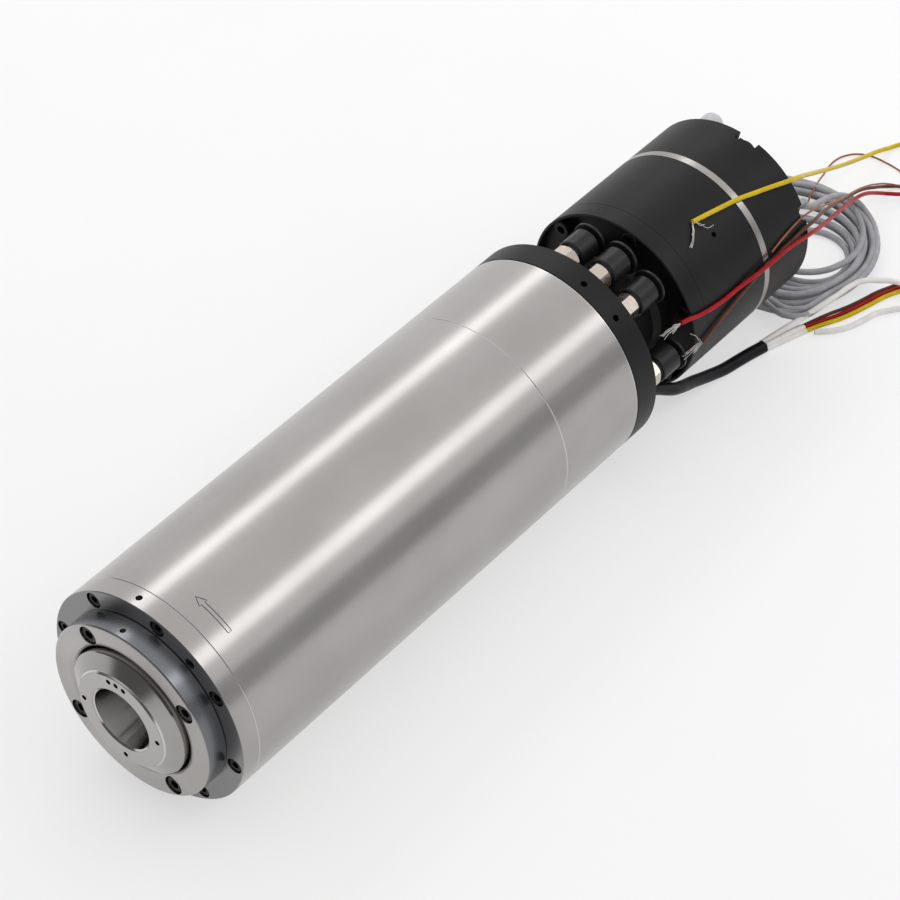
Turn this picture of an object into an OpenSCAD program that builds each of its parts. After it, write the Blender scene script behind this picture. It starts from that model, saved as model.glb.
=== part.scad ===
// Motor spindle for automatic tool change: a taper nose on two pairs of angular contact bearings, a
// built-in motor, a disc spring drawbar with four gripper petals, and a two-stage air cylinder behind it.
// The spindle axis is X and the nose looks along -X. X is 0 at the front face of the round body.

/* [Body] */
// Diameter of the clamped body
body_d = 110; // [106:1:120]
// Thickness of the front disc of the front housing
disc_t = 10; // [8:0.5:14]
// Length of the main sleeve
sleeve_l = 212.5; // [208:0.5:240]
// Length of the rear housing that shows
rear_housing_l = 53.8; // [53:0.2:60]
// Wall of the main sleeve
sleeve_wall = 8; // [6:0.25:8.5]
// Wall of the cooling jacket
jacket_wall = 4; // [3.5:0.25:4.5]
// Depth of the spigots inside the ends of the sleeve
spigot_l = 17.5; // [12:0.5:18]

/* [Nose] */
// Length of the front cover ring
cover_l = 11; // [10:0.5:14]
// Outer diameter of the front cover ring
cover_d = 90.4; // [89:0.2:92]
// Reach of the spindle face in front of the cover ring
nose_reach = 6.5; // [5.5:0.25:9]
// Diameter of the spindle's nose flange
nose_d = 64.8; // [63:0.2:65.6]
// Gap between the nose flange and the cover ring
nose_gap = 0.6; // [0.5:0.1:1.2]
// Diameter of the flat of the spindle face
face_d = 49; // [46:0.5:52]
// Diameter of the taper at the spindle face
taper_d = 31.75; // [31.5:0.05:32]
// Length of the 7:24 taper
taper_l = 49; // [48:0.25:50]
// Width of the chamfer at the taper's mouth
mouth_chamfer = 1; // [0.5:0.1:1.5]
// Diameter of the balance holes in the spindle face
balance_d = 2.6; // [2:0.1:3.2]

/* [Bearings] */
// Bore of the front bearings
front_bearing_bore = 45; // [44:0.5:46]
// Outer diameter of the front bearings
front_bearing_od = 75; // [74:0.5:76]
// Width of one front bearing
front_bearing_w = 16; // [15:0.5:17]
// Ball diameter of the front bearings
front_ball_d = 8.8; // [8:0.1:9.4]
// Bore of the rear bearings
rear_bearing_bore = 35; // [34:0.5:36]
// Outer diameter of the rear bearings
rear_bearing_od = 62; // [61:0.5:63]
// Width of one rear bearing
rear_bearing_w = 14; // [13:0.5:14]
// Ball diameter of the rear bearings
rear_ball_d = 6.4; // [6:0.1:7]
// Distance between the two front bearings
spacer_l = 8; // [6:0.5:9]
// Balls in one bearing
ball_count = 18; // [14:1:19]

/* [Motor] */
// Length of the rotor and the stator core
stack_l = 100; // [80:1:110]
// Radial air gap between rotor and stator
air_gap = 0.4; // [0.3:0.05:0.6]
// Diameter of the rotor
rotor_d = 54; // [52:0.5:56]
// Slots in the stator core
slot_count = 24; // [18:6:36]
// Height of the end turns
end_turn_l = 16; // [12:1:16]

/* [Drawbar] */
// Bore of the shaft where the gripper petals close
closing_bore_d = 17.7; // [17.5:0.05:18]
// Bore of the shaft that holds the springs
spring_bore_d = 20.8; // [20.5:0.1:21.5]
// Diameter of the drawbar's rod
drawbar_d = 10; // [9:0.25:10]
// Diameter of the drawbar's tail
drawbar_tail_d = 16; // [15:0.5:17]
// Length of the disc spring pack
spring_pack_l = 170; // [160:1:176]
// Thickness of one stack of disc springs
spring_stack_t = 3.3; // [2.8:0.1:3.5]
// Free height of one disc spring's cone
spring_cone_h = 0.45; // [0.3:0.05:0.6]
// Angle that one gripper petal covers
petal_angle = 82; // [70:1:84]

/* [Rear flange] */
// Thickness of the rear flange
flange_t = 15; // [14:0.5:18]
// Radius of the circle of tube fittings
port_r = 43; // [42.5:0.25:43.5]
// Angle between neighbouring tube fittings
port_pitch = 25.5; // [24.5:0.5:27]
// Outer diameter of the air tube that the fittings take
tube_d = 8; // [6:0.5:8.5]
// Length of the hexagon of a tube fitting
port_hex_l = 12.7; // [10:0.5:14]
// Length of the round body of a tube fitting
port_body_l = 13; // [11:0.5:14]
// Outer diameter of a tube fitting's body
port_body_d = 15.2; // [14.5:0.1:16]
// Diameter of a fitting's release ring
release_ring_d = 18; // [16:0.5:18.5]
// Travel of a fitting's release ring
release_travel = 1.1; // [0.8:0.1:1.4]

/* [Release cylinder] */
// Diameter of the release cylinder
cylinder_d = 98; // [96:0.5:104]
// Length of the neck that shows between flange and cylinder
neck_gap = 38.2; // [38:0.2:46]
// Outer diameter of the neck
neck_d = 60; // [56:0.5:62]
// Wall of the neck
neck_wall = 8; // [6:0.5:9]
// Depth of the recess in the front cap
cap_recess = 5; // [3:0.5:6]
// Thickness of the front cap behind the recess
cap_plate_t = 5.3; // [5:0.1:8]
// Length of the cylinder barrel
barrel_l = 47.9; // [47.5:0.1:56]
// Bore of the cylinder barrel
barrel_bore_d = 72; // [68:0.5:76]
// Thickness of the pistons
piston_t = 7; // [6:0.25:7.25]
// Stroke of the pistons
stroke = 8; // [7:0.25:8]
// Diameter of the piston rod
rod_d = 18; // [16:0.5:20]
// Running clearance of shafts and pistons on the radius
running_gap = 0.05; // [0.03:0.01:0.08]
// Thickness of the end plate that shows
end_plate_t = 3.9; // [3.5:0.1:6]
// Length of the rear cover
rear_cover_l = 33.6; // [32:0.2:40]
// Wall of the rear cover
rear_cover_wall = 5; // [4:0.25:6]

/* [Screws] */
// Shank diameter of the cover and cylinder screws
m5_d = 5; // [4.5:0.1:5.5]
// Shank diameter of the housing screws
m4_d = 4; // [3.6:0.1:4.4]
// Distance of the housing screws from the rim of the front disc
housing_screw_inset = 5; // [4.7:0.1:5.5]
// Radius of the circle of cover screws
cover_screw_r = 39.4; // [39:0.1:39.8]
// Radius of the circle of cap screws
cap_screw_r = 43.3; // [42:0.1:43.5]

/* [Cords] */
// Diameter of the power cable
cable_d = 6.5; // [6:0.1:6.6]
// Diameter of the sensor cable
sensor_cable_d = 3.4; // [3:0.1:3.6]
// Diameter of the yellow lead
yellow_d = 2.4; // [2:0.1:2.4]
// Diameter of the red lead
red_d = 2.2; // [1.8:0.1:2.2]
// Diameter of the brown lead
brown_d = 1.9; // [1.6:0.1:1.9]
// Diameter of the white lead
white_d = 3; // [2.6:0.1:3]
// Diameter of the bare core of the sensor cable
core_d = 1; // [0.8:0.1:1]

/* [Hidden] */
$fn = 96;

// Length by which a cut runs past the face that it opens
over = 1;
// Width of the small chamfers on outer edges
edge = 0.6;

// Places along the axis, from the nose to the rear
body_r = body_d / 2;
spigot_r = body_r - sleeve_wall;
jacket_r = spigot_r - jacket_wall;
sleeve_x0 = disc_t;
sleeve_x1 = sleeve_x0 + sleeve_l;
rear_x1 = sleeve_x1 + rear_housing_l;
flange_x1 = rear_x1 + flange_t;
cap_x0 = flange_x1 + neck_gap;
plate_x0 = cap_x0 + cap_recess;
barrel_x0 = plate_x0 + cap_plate_t;
barrel_x1 = barrel_x0 + barrel_l;
end_x1 = barrel_x1 + end_plate_t;
cover_x1 = end_x1 + rear_cover_l;
cylinder_r = cylinder_d / 2;
barrel_r = barrel_bore_d / 2;

// Nose
cover_x0 = -cover_l;
cover_r = cover_d / 2;
nose_r = nose_d / 2;
nose_x0 = cover_x0 - nose_reach;
nose_rim_x = cover_x0 - 1.3;
nose_back_x = -1;
nose_bore_r = nose_r + nose_gap;
face_r = face_d / 2;
taper_r = taper_d / 2;
taper_x1 = nose_x0 + taper_l;
taper_end_r = taper_r - taper_l * 7 / 48;
balance_r = 21.6;
balance_angles = [-2.5, 177, -92.8, 76.6, 88.2, 99.6];
balance_depth = 6;

// Front bearing pair and what holds it
front_seat_r = front_bearing_bore / 2;
front_od_r = front_bearing_od / 2;
front_x0 = disc_t + 2;
front_x1 = front_x0 + front_bearing_w;
front_x2 = front_x1 + spacer_l;
front_x3 = front_x2 + front_bearing_w;
nut_l = 8;
front_x4 = front_x3 + nut_l;
front_housing_x1 = front_x4 + 2;
lip_r = front_od_r - 10.5;
shoulder_r = lip_r - 1;
front_pitch_r = (front_seat_r + front_od_r) / 2;

// Rear bearing pair and what holds it
rear_seat_r = rear_bearing_bore / 2;
rear_od_r = rear_bearing_od / 2;
sensor_ring_l = 6;
sensor_ring_gap = 1;
sensor_room = 3.3;
sensor_ring_x = rear_x1 - sensor_room - sensor_ring_l;
rear_b2 = sensor_ring_x - sensor_ring_gap - nut_l;
rear_b1 = rear_b2 - rear_bearing_w;
rear_b0 = rear_b1 - rear_bearing_w;
rear_pitch_r = (rear_seat_r + rear_od_r) / 2;
web_bore_r = rear_seat_r + 2.5;
rear_hollow_r = 38;
sensor_ring_r = rear_seat_r + 9;
sensor_teeth = 30;
sensor_tooth_r = 1.5;
sensor_tip_gap = 0.7;
sensor_tip_l = 5;
sensor_tip_r = 2;
sensor_body_r = 2.8;
sensor_seat = 3;
speed_sensor_angle = 250;
duct_w = 7;
duct_l = 8;

// Motor: the core sits midway between the bearings
rotor_r = rotor_d / 2;
rotor_bore_r = 18;
stator_bore_r = rotor_r + air_gap;
stack_x0 = (front_housing_x1 + sleeve_x1 - spigot_l - stack_l) / 2;
stack_x1 = stack_x0 + stack_l;
jacket_x0 = front_housing_x1 + 2;
jacket_x1 = sleeve_x1 - spigot_l - 2;
channel_l = 6;
channel_wall = 3;
channel_depth = 2.2;
slot_w = 3.2;
slot_r0 = stator_bore_r + 1.2;
slot_r1 = jacket_r - 5;
winding_gap = 0.2;

// Drawbar, springs and petals
closing_r = closing_bore_d / 2;
spring_bore_r = spring_bore_d / 2;
pilot_x1 = taper_x1 + 4.5;
ramp_x0 = pilot_x1 + 1;
ramp_x1 = ramp_x0 + 11.5;
ramp_slope = 0.25;
ramp_r = closing_r + (ramp_x1 - ramp_x0) * ramp_slope;
clamp_room = 31.5;
spring_x0 = ramp_x1 + clamp_room;
spring_x1 = spring_x0 + spring_pack_l;
drawbar_r = drawbar_d / 2;
collar_r = spring_bore_r - running_gap * 2;
collar_l = 8;
drawbar_tail_r = drawbar_tail_d / 2;
shaft_x1 = flange_x1 + 8.7;
shaft_tail_r = 15;
drawbar_x1 = shaft_x1 + 6;
petal_head_l = 5;
petal_head_gap = 0.45;
petal_r = closing_r - 0.85;
petal_x0 = ramp_x1 - petal_head_l;
pivot_x = ramp_x1 + 15.5;
pivot_r = 5.6;
pin_r = 1;
pin_hole_r = pin_r + running_gap;
lug_w = 4.8;
lug_gap = 0.2;
head_x0 = pivot_x - 4;
head_x1 = pivot_x + 8;
head_r = closing_r - 0.55;
petal_x1 = head_x0 - 0.6;
knob_r = 5.8;
grip_r = 4.3;
lug_floor_r = 3.5;
lug_relief = 0.2;
spring_r0 = drawbar_r + 0.3;
spring_r1 = spring_bore_r - 0.4;
spring_count = floor(spring_pack_l / (spring_stack_t + spring_cone_h));
spring_pitch = spring_pack_l / spring_count;
spring_touch = 0.05;

// Rear flange and its fittings
flange_bore_r = 27.5;
neck_r = neck_d / 2;
neck_bore_r = neck_r - neck_wall;
neck_seat = 7.3;
neck_x0 = flange_x1 - neck_seat;
neck_waist = 2;
port_angle0 = 79.5;
port_angles = [port_angle0, port_angle0 + port_pitch, port_angle0 + 2 * port_pitch,
    port_angle0 + 4 * port_pitch];
plug_angle = port_angle0 + 3 * port_pitch;
port_bore_r = tube_d / 2 + 0.1;
port_stem_r = 5;
port_stem_l = 8;
port_hex_r = 7.1;
port_neck_l = 1.4;
port_neck_r = 5.6;
port_body_r = port_body_d / 2;
port_x1 = flange_x1 + port_hex_l;
port_x2 = port_x1 + port_body_l;
ring_recess_r = port_bore_r + 1.4;
ring_recess_l = 5;
ring_t = 1.6;
ring_x0 = port_x2 + release_travel + 0.1;
ring_sleeve_l = 4;
tube_stop = 1;
gland_angle = 207;
gland_l = 9.7;
gland_hex_l = 5.5;
gland_r = 6.4;
gland_stem_r = cable_d / 2 + 1.5;
gland_y = port_r * cos(gland_angle);
gland_z = port_r * sin(gland_angle);

// Release cylinder
rod_r = rod_d / 2;
rod_gap = 2.05;
rod_x0 = drawbar_x1 + rod_gap;
bush_r = rod_r + 2;
bush_bore_r = rod_r + running_gap;
cap_lip = 1.3;
cap_spigot = 4.2;
chamber_gap = 2;
piston_1_x1 = barrel_x0 + cap_spigot + chamber_gap + stroke + piston_t;
partition_x0 = piston_1_x1 + 1;
partition_t = 6;
end_spigot = 3.7;
end_spigot_x0 = barrel_x1 - end_spigot;
piston_2_x1 = end_spigot_x0 - 0.5;
piston_r = barrel_r - running_gap;
rod_x1 = end_x1 + 13.4;
rod_guide_bore = 20;
floor_t = 5;
lid_t = 6;
lid_depth = 2.2;
lid_x1 = cover_x1 - lid_depth;
lid_x0 = lid_x1 - lid_t;
cover_bore_r = cylinder_r - rear_cover_wall;
lid_r = cover_bore_r - 0.1;
notch_depth = 4;
elbow_angle = 101.6;
sensor_angle = 157.4;
silencer_angle = 49;
elbow_r = 40;
sensor_gland_r = 40.2;
silencer_r = 37.4;
lid_thread_r = 2.5;
notch_w = 11.5;
sensor_notch_w = 9;

// Screw heads
m5_head_r = 4.25;
m5_head_l = 5;
m5_bore_r = 4.8;
barrel_thread_l = 9;
m4_head_r = 3.5;
m4_head_l = 4;
m4_bore_r = 4;
housing_screw_r = body_r - housing_screw_inset;
jack_d = 5;
jack_r = body_r - 6.3;
jack_angle = 124;
cover_screw_angle = 56;
housing_screw_angle = 55.5;
cap_screw_angle = 40;
rear_screw_angle = 10;
rear_screw_r = 39.5;
flange_screw_r = body_r - 6;
flange_screw_angle = 92.25;
flange_screw_count = 7;

// Cord routes lie on the floor under the body
floor_z = -body_r;
cable_r = cable_d / 2;
coil_x = 467.5;
coil_y = -5;
coil_r = 51.2;
coil_hole_x = 471;
coil_hole_y = -23;
coil_hole_r = 18.5;
coil_h = 11;
coil_round = 3;
coil_gap = 0.5;
cable_route = [[flange_x1 + gland_l, gland_y, gland_z], [306, -38.4, -20.1], [311, -38.8, -21.9],
    [316, -39.5, -24.8], [321, -40.4, -28.2], [326, -41, -31.4], [331, -40.8, -34.3],
    [338, -39.8, -38.3], [346, -39, -42.2], [354, -38.9, -45.8], [362, -39.2, -48.8],
    [371, -40.2, -51.2], [380, -41.6, -51.7], [389, -43.4, -51.7], [398, -45.6, -51.7]];
white_route = [[398, -43.9, -50.6], [406, -45.5, -50.1], [414, -47.3, -49.6], [421, -49.2, -48.7],
    [428, -51.3, -47.4], [435, -53.6, -46], [442, -55.3, -45.2], [450, -56.4, -45.1],
    [458, -57.4, -45.1], [465, -60, -45.2], [471.5, -65.5, -46.2], [477, -71, -47.6],
    [480.5, -77.5, -50], [478, -83, -52.4], [471.5, -84, -53.4], [464.5, -79.5, -53.45],
    [457, -74.8, -53.45], [448, -72.4, -53.45], [440, -69.9, -53.45], [433.5, -66.3, -53.45],
    [428.5, -62, -53.45], [425, -58.3, -53.45]];
yellow_route = [[398, -47.3, -52.6], [406, -49.2, -53.2], [414, -51.4, -53.75], [423, -54.2, -53.75],
    [432, -57.9, -53.75], [441.5, -62.4, -53.75], [450, -65.4, -53.75], [460, -68.1, -53.75],
    [471, -71, -53.75], [482, -75.7, -53.75], [494, -79.9, -53.75], [508, -82, -53.75],
    [523, -81, -53.75], [538, -77, -53.75], [553, -69.5, -53.75], [566, -59, -53.75],
    [577, -46, -53.75], [584.5, -32, -53.75], [587, -19, -53.75], [584, -11, -53.75],
    [578.4, -7.3, -53.75], [572.6, -5, -53.4], [562.5, -4.2, -49.8], [548, -5, -43.9],
    [529, -7.8, -34.2], [505, -12.9, -19.9], [480, -19.3, -3.3], [460, -25.8, 11.1],
    [441, -32.5, 25.3], [426.6, -36.8, 35], [419, -35.7, 36.7], [410, -33.5, 38.3], [400, -31.1, 39.8],
    [390, -28.7, 41.3], [378, -26.7, 42.6], [368, -25.1, 43.6], [358.5, -23.6, 44.4]];
brown_route = [[398, -45, -53.55], [407, -46.4, -54], [416, -48.3, -54], [424, -50.3, -54],
    [433, -53, -54], [442, -56.1, -54], [451, -59.8, -54], [461, -62.9, -54], [471, -65.5, -54],
    [481, -69.5, -54], [491, -73, -54], [503, -74.8, -54], [517, -73.4, -54], [530, -68.2, -54],
    [541, -60, -54], [549, -49.5, -54], [552.5, -38, -54], [552.4, -33.9, -54], [549.8, -27.3, -54],
    [544.9, -22.9, -53.2], [531.5, -22, -45.8], [518, -22.7, -38.2], [503, -25.4, -30.4],
    [482, -31.5, -17.8], [462, -38.2, -4.6], [443, -44, 5.6], [427, -48.6, 12.5], [418, -48.6, 12.9],
    [408, -48.7, 12.2], [399.7, -48.8, 11.6], [382.6, -49.1, 10.4], [370, -49.5, 8.2],
    [361, -49.8, 6.3], [349, -50.1, 3.1], [341, -50.2, 0.9], [335, -50.2, -1.5]];
red_route = [[398, -46.7, -50.2], [406, -48.3, -50.9], [415, -50.1, -51.7], [424, -52.2, -52.9],
    [433, -55.4, -53.85], [442, -59.4, -53.85], [451, -62.6, -53.85], [461, -65.4, -53.85],
    [471, -68.1, -53.85], [481, -72.3, -53.85], [491, -75.9, -53.85], [503, -77.7, -53.85],
    [516, -76.6, -53.6], [528, -72.4, -52.4], [539, -66, -51], [546.5, -57.5, -50.6],
    [549.3, -48, -50.6], [547.5, -40, -50.8], [542.6, -34.6, -51], [536.5, -28.7, -49.8],
    [525.5, -27, -43.1], [511, -28.2, -33.9], [497, -30.1, -27.8], [480, -34.9, -19.2],
    [460, -40.5, -9.6], [442, -45.8, -0.5], [427, -49.4, 6.6], [417, -50.4, 9.6], [407, -50.8, 12],
    [398, -51.1, 13.2], [388, -50.8, 12.9], [376, -49.8, 12.5], [366, -48.9, 12.2], [350, -48.7, 12.9],
    [334, -47.9, 15.4], [326, -47.1, 17.7], [320.5, -46.6, 18.9]];
sensor_route = [[lid_x1 + 7, -37.1, 15.4], [436, -37, 14.4], [443, -33.9, 5.7], [451, -32.2, -1],
    [459.5, -29.8, -6.8], [469, -27.2, -12.5], [480, -24.6, -18.8], [491.5, -22.1, -25.9],
    [502.5, -20.1, -33.7], [510.5, -20.1, -40.1], [514.3, -23, -44.4], [514.9, -27.1, -47.5]];
core_route = [[498.3, -2.2, -45.5], [503.6, -0.7, -44.2], [511.3, 1.8, -45], [521.7, 5.9, -49],
    [531, 9.3, -53], [539.6, 11.7, -54.4], [547.8, 11.9, -54.4], [554.3, 9.5, -54.4],
    [558.8, 5.4, -54.4], [561.6, -0.9, -54.4], [562.1, -9.6, -54.4], [561.1, -19.2, -54.4],
    [558.3, -27.5, -54.2], [552.1, -31.9, -51.8], [545.7, -30.7, -49.4], [540.3, -26.4, -46.8],
    [526.5, -25.8, -38.4], [510, -28.3, -28.4], [493.5, -32.1, -18.8], [476, -37.1, -8.6],
    [460, -41.2, 1.1], [444, -44.3, 10.3], [430, -46.3, 17.3], [421, -46.2, 18.3], [411, -46.6, 17.7],
    [401.5, -47.1, 16.3], [394, -47.6, 14.9]];

// Sets children on the axis so that their Z runs along X from the place x
module along_x(x) {
    translate([x, 0, 0])
        rotate([0, 90, 0])
            children();
}

// Solid round bar along X
module bar(x, len, r) {
    along_x(x)
        cylinder(h = len, r = r);
}

// Round tube along X
module pipe(x, len, outer, inner) {
    difference() {
        bar(x, len, outer);
        bar(x - over, len + 2 * over, inner);
    }
}

// Body of revolution about X, from points [radius, x]
module turned(points) {
    rotate([0, 90, 0])
        rotate_extrude()
            polygon(points);
}

// Sets children at radius r and angle a about X; 0 is +Y and 90 is up
module at_angle(r, a) {
    rotate([a, 0, 0])
        translate([0, r, 0])
            children();
}

// Ring of equal copies about X
module around(count, r, start) {
    for (i = [0 : count - 1])
        at_angle(r, start + i * 360 / count)
            children();
}

// Disc with a small chamfer on both rims
module chamfered(x, len, r, c) {
    turned([[0, x], [r - c, x], [r, x + c], [r, x + len - c], [r - c, x + len], [0, x + len]]);
}

// Socket head cap screw along X, head to the left with its top at x
module cap_screw(x, head_r, head_l, shank_r, shank_l) {
    socket_r = head_r * 0.56;
    difference() {
        union() {
            turned([[0, x], [head_r - 0.3, x], [head_r, x + 0.3], [head_r, x + head_l],
                [0, x + head_l]]);
            bar(x + head_l - over, shank_l + over, shank_r);
        }
        along_x(x - over)
            cylinder(h = head_l * 0.6 + over, r = socket_r, $fn = 6);
    }
}

// Counterbored clearance hole along X for a cap screw whose seat is at x
module screw_hole(x0, seat_x, x1, bore_r, shank_r) {
    bar(x0, seat_x - x0, bore_r);
    bar(seat_x - over, x1 - seat_x + over, shank_r);
}

// Front disc and bearing seat, with a lip in front of the first bearing
module front_housing() {
    color([0.78, 0.79, 0.8])
        difference() {
            union() {
                chamfered(0, disc_t, body_r, edge / 2);
                bar(disc_t - over, front_housing_x1 - disc_t + over, spigot_r);
            }
            bar(-over, front_x0 + 2 * over, lip_r);
            bar(front_x0, front_housing_x1, front_od_r);
            around(8, housing_screw_r, housing_screw_angle)
                screw_hole(-over, m4_head_l + 0.6, disc_t + over, m4_bore_r, m4_d / 2);
            around(4, cover_screw_r, cover_screw_angle)
                bar(-over, disc_t, m5_d / 2);
            at_angle(jack_r, jack_angle)
                bar(-over, disc_t + 2 * over, jack_d / 2);
            rotate([84.8, 0, 0])
                translate([4.8, body_r - 6, 0])
                    rotate([-90, 0, 0])
                        cylinder(h = 6 + over, r = 1.6);
        }
}

// Ring that closes the front bearing and hides the nose gap
module front_cover() {
    color([0.8, 0.81, 0.82])
        difference() {
            turned([[nose_bore_r, 0], [cover_r, 0], [cover_r, cover_x0 + edge],
                [cover_r - edge, cover_x0], [nose_bore_r + 3.5, cover_x0],
                [nose_bore_r + 2.4, cover_x0 + 0.2], [nose_bore_r + 1.4, cover_x0 + 0.6],
                [nose_bore_r + 0.6, cover_x0 + 1.2], [nose_bore_r + 0.1, cover_x0 + 2],
                [nose_bore_r, cover_x0 + 2.8]]);
            around(4, cover_screw_r, cover_screw_angle)
                screw_hole(cover_x0 - over, cover_x0 + m5_head_l + 0.8, over, m5_bore_r, m5_d / 2);
            rotate([84.8, 0, 0])
                translate([-7, cover_r - 5, 0])
                    rotate([-90, 0, 0])
                        cylinder(h = 5 + over, r = 1.4);
        }
}

// Four screws of the front cover, sunk in its counterbores
module cover_screws() {
    color([0.32, 0.33, 0.34])
        around(4, cover_screw_r, cover_screw_angle)
            cap_screw(cover_x0 + 0.8, m5_head_r, m5_head_l, m5_d / 2, cover_l - 5.8 + disc_t - 2);
}

// Eight screws that hold the front disc to the sleeve
module housing_screws() {
    color([0.32, 0.33, 0.34])
        around(8, housing_screw_r, housing_screw_angle)
            cap_screw(0.6, m4_head_r, m4_head_l, m4_d / 2, disc_t + 3);
}

// Ground steel sleeve that the clamp holds
module main_sleeve() {
    color([0.74, 0.75, 0.77])
        difference() {
            turned([[spigot_r, sleeve_x0], [body_r - 0.3, sleeve_x0], [body_r, sleeve_x0 + 0.3],
                [body_r, sleeve_x1 - 0.3], [body_r - 0.3, sleeve_x1], [spigot_r, sleeve_x1]]);
            around(8, housing_screw_r, housing_screw_angle)
                bar(sleeve_x0 - over, 12 + over, m4_d / 2);
        }
}

// Jacket with ring channels for the coolant between core and sleeve
module cooling_jacket() {
    channel_pitch = channel_l + channel_wall;
    channel_count = floor((jacket_x1 - jacket_x0 - channel_wall) / channel_pitch);
    color([0.72, 0.6, 0.4])
        difference() {
            pipe(jacket_x0, jacket_x1 - jacket_x0, spigot_r, jacket_r);
            for (i = [0 : channel_count - 1])
                pipe(jacket_x0 + channel_wall + i * channel_pitch, channel_l, spigot_r + over,
                    spigot_r - channel_depth);
        }
}

// Laminated stator core with open slots
module stator_core() {
    color([0.45, 0.46, 0.48])
        difference() {
            pipe(stack_x0, stack_l, jacket_r, stator_bore_r);
            for (i = [0 : slot_count - 1])
                rotate([i * 360 / slot_count, 0, 0])
                    translate([stack_x0 - over, slot_r0 - 2 * over, -slot_w / 2])
                        cube([stack_l + 2 * over, slot_r1 - slot_r0 + 2 * over, slot_w]);
        }
}

// Copper end turns at both ends of the core, and a winding bar in each slot
module stator_windings() {
    color([0.72, 0.4, 0.2]) {
        end_turns(stack_x0 - end_turn_l);
        end_turns(stack_x1);
        for (i = [0 : slot_count - 1])
            rotate([i * 360 / slot_count, 0, 0])
                translate([stack_x0 + winding_gap, slot_r0, -slot_w / 2])
                    cube([stack_l - 2 * winding_gap, slot_r1 - slot_r0, slot_w]);
    }
}

// One ring of end turns with rounded corners
module end_turns(x) {
    round_r = 3;
    inner = slot_r0 + round_r;
    outer = jacket_r - 1 - round_r;
    rotate([0, 90, 0])
        rotate_extrude()
            union() {
                translate([inner - round_r, x + round_r])
                    square([outer - inner + 2 * round_r, end_turn_l - 2 * round_r]);
                translate([inner, x])
                    square([outer - inner, end_turn_l]);
                for (r = [inner, outer], z = [x + round_r, x + end_turn_l - round_r])
                    translate([r, z])
                        circle(r = round_r, $fn = 32);
            }
}

// Rear housing: web, bearing seat and sensor hollow
module rear_housing() {
    color([0.74, 0.75, 0.77])
        difference() {
            union() {
                chamfered(sleeve_x1, rear_housing_l, body_r, 0.3);
                bar(sleeve_x1 - spigot_l, spigot_l + over, spigot_r);
            }
            bar(sleeve_x1 - spigot_l - over, spigot_l + over, rear_hollow_r);
            bar(sleeve_x1 - over, rear_b0 - sleeve_x1 + 2 * over, web_bore_r);
            bar(rear_b0, rear_housing_l, rear_od_r);
            bar(rear_b2 + 4, rear_housing_l, rear_hollow_r);
            around(flange_screw_count, flange_screw_r, flange_screw_angle)
                bar(rear_x1 - 12, 12 + over, m4_d / 2);
            at_angle(rear_hollow_r - 2, gland_angle)
                bar(sleeve_x1 - over, rear_b2 + 4 - sleeve_x1 + 2 * over, duct_w / 2);
            rotate([gland_angle, 0, 0])
                translate([rear_x1 - duct_l, rear_hollow_r - 4, -duct_w / 2])
                    cube([duct_l + over, port_r + 7 - rear_hollow_r, duct_w]);
            rotate([speed_sensor_angle, 0, 0])
                translate([sensor_ring_x + sensor_ring_l / 2, rear_hollow_r - over, 0])
                    rotate([-90, 0, 0])
                        cylinder(h = over + sensor_seat, r = sensor_body_r);
        }
}

// Outer race with a ball groove, closed by a shoulder on one side
module outer_race(x, w, od_r, pitch_r, ball_r) {
    land_r = pitch_r + ball_r * 0.45;
    groove_r = ball_r + running_gap;
    difference() {
        pipe(x, w, od_r, land_r);
        translate([x + w / 2, 0, 0])
            rotate([0, 90, 0])
                rotate_extrude()
                    circle_at(pitch_r, groove_r);
    }
}

// Inner race with a ball groove that fits the balls
module inner_race(x, w, bore_r, pitch_r, ball_r) {
    land_r = pitch_r - ball_r * 0.45;
    difference() {
        pipe(x, w, land_r, bore_r);
        translate([x + w / 2, 0, 0])
            rotate([0, 90, 0])
                rotate_extrude()
                    circle_at(pitch_r, ball_r);
    }
}

// Balls of one bearing, between the two halves of a ribbon cage
module ball_row(x, pitch_r, ball_r) {
    cage_t = ball_r * 0.6;
    translate([x, 0, 0]) {
        around(ball_count, pitch_r, 0)
            sphere(r = ball_r, $fn = 32);
        for (side = [0, 1])
            mirror([side, 0, 0])
                rotate([0, 90, 0])
                    rotate_extrude()
                        difference() {
                            translate([pitch_r - cage_t / 2, ball_r * 0.3])
                                square([cage_t, ball_r]);
                            circle_at(pitch_r, ball_r + running_gap);
                        }
    }
}

// Round outline on the pitch circle of a ball row
module circle_at(r, round_r) {
    translate([r, 0])
        circle(r = round_r, $fn = 48);
}

// Outer races of all four bearings
module outer_rings() {
    color([0.7, 0.71, 0.72]) {
        outer_race(front_x0, front_bearing_w, front_od_r, front_pitch_r, front_ball_d / 2);
        outer_race(front_x2, front_bearing_w, front_od_r, front_pitch_r, front_ball_d / 2);
        outer_race(rear_b0, rear_bearing_w, rear_od_r, rear_pitch_r, rear_ball_d / 2);
        outer_race(rear_b1, rear_bearing_w, rear_od_r, rear_pitch_r, rear_ball_d / 2);
    }
}

// Inner races of all four bearings
module inner_rings() {
    color([0.7, 0.71, 0.72]) {
        inner_race(front_x0, front_bearing_w, front_seat_r, front_pitch_r, front_ball_d / 2);
        inner_race(front_x2, front_bearing_w, front_seat_r, front_pitch_r, front_ball_d / 2);
        inner_race(rear_b0, rear_bearing_w, rear_seat_r, rear_pitch_r, rear_ball_d / 2);
        inner_race(rear_b1, rear_bearing_w, rear_seat_r, rear_pitch_r, rear_ball_d / 2);
    }
}

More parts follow.
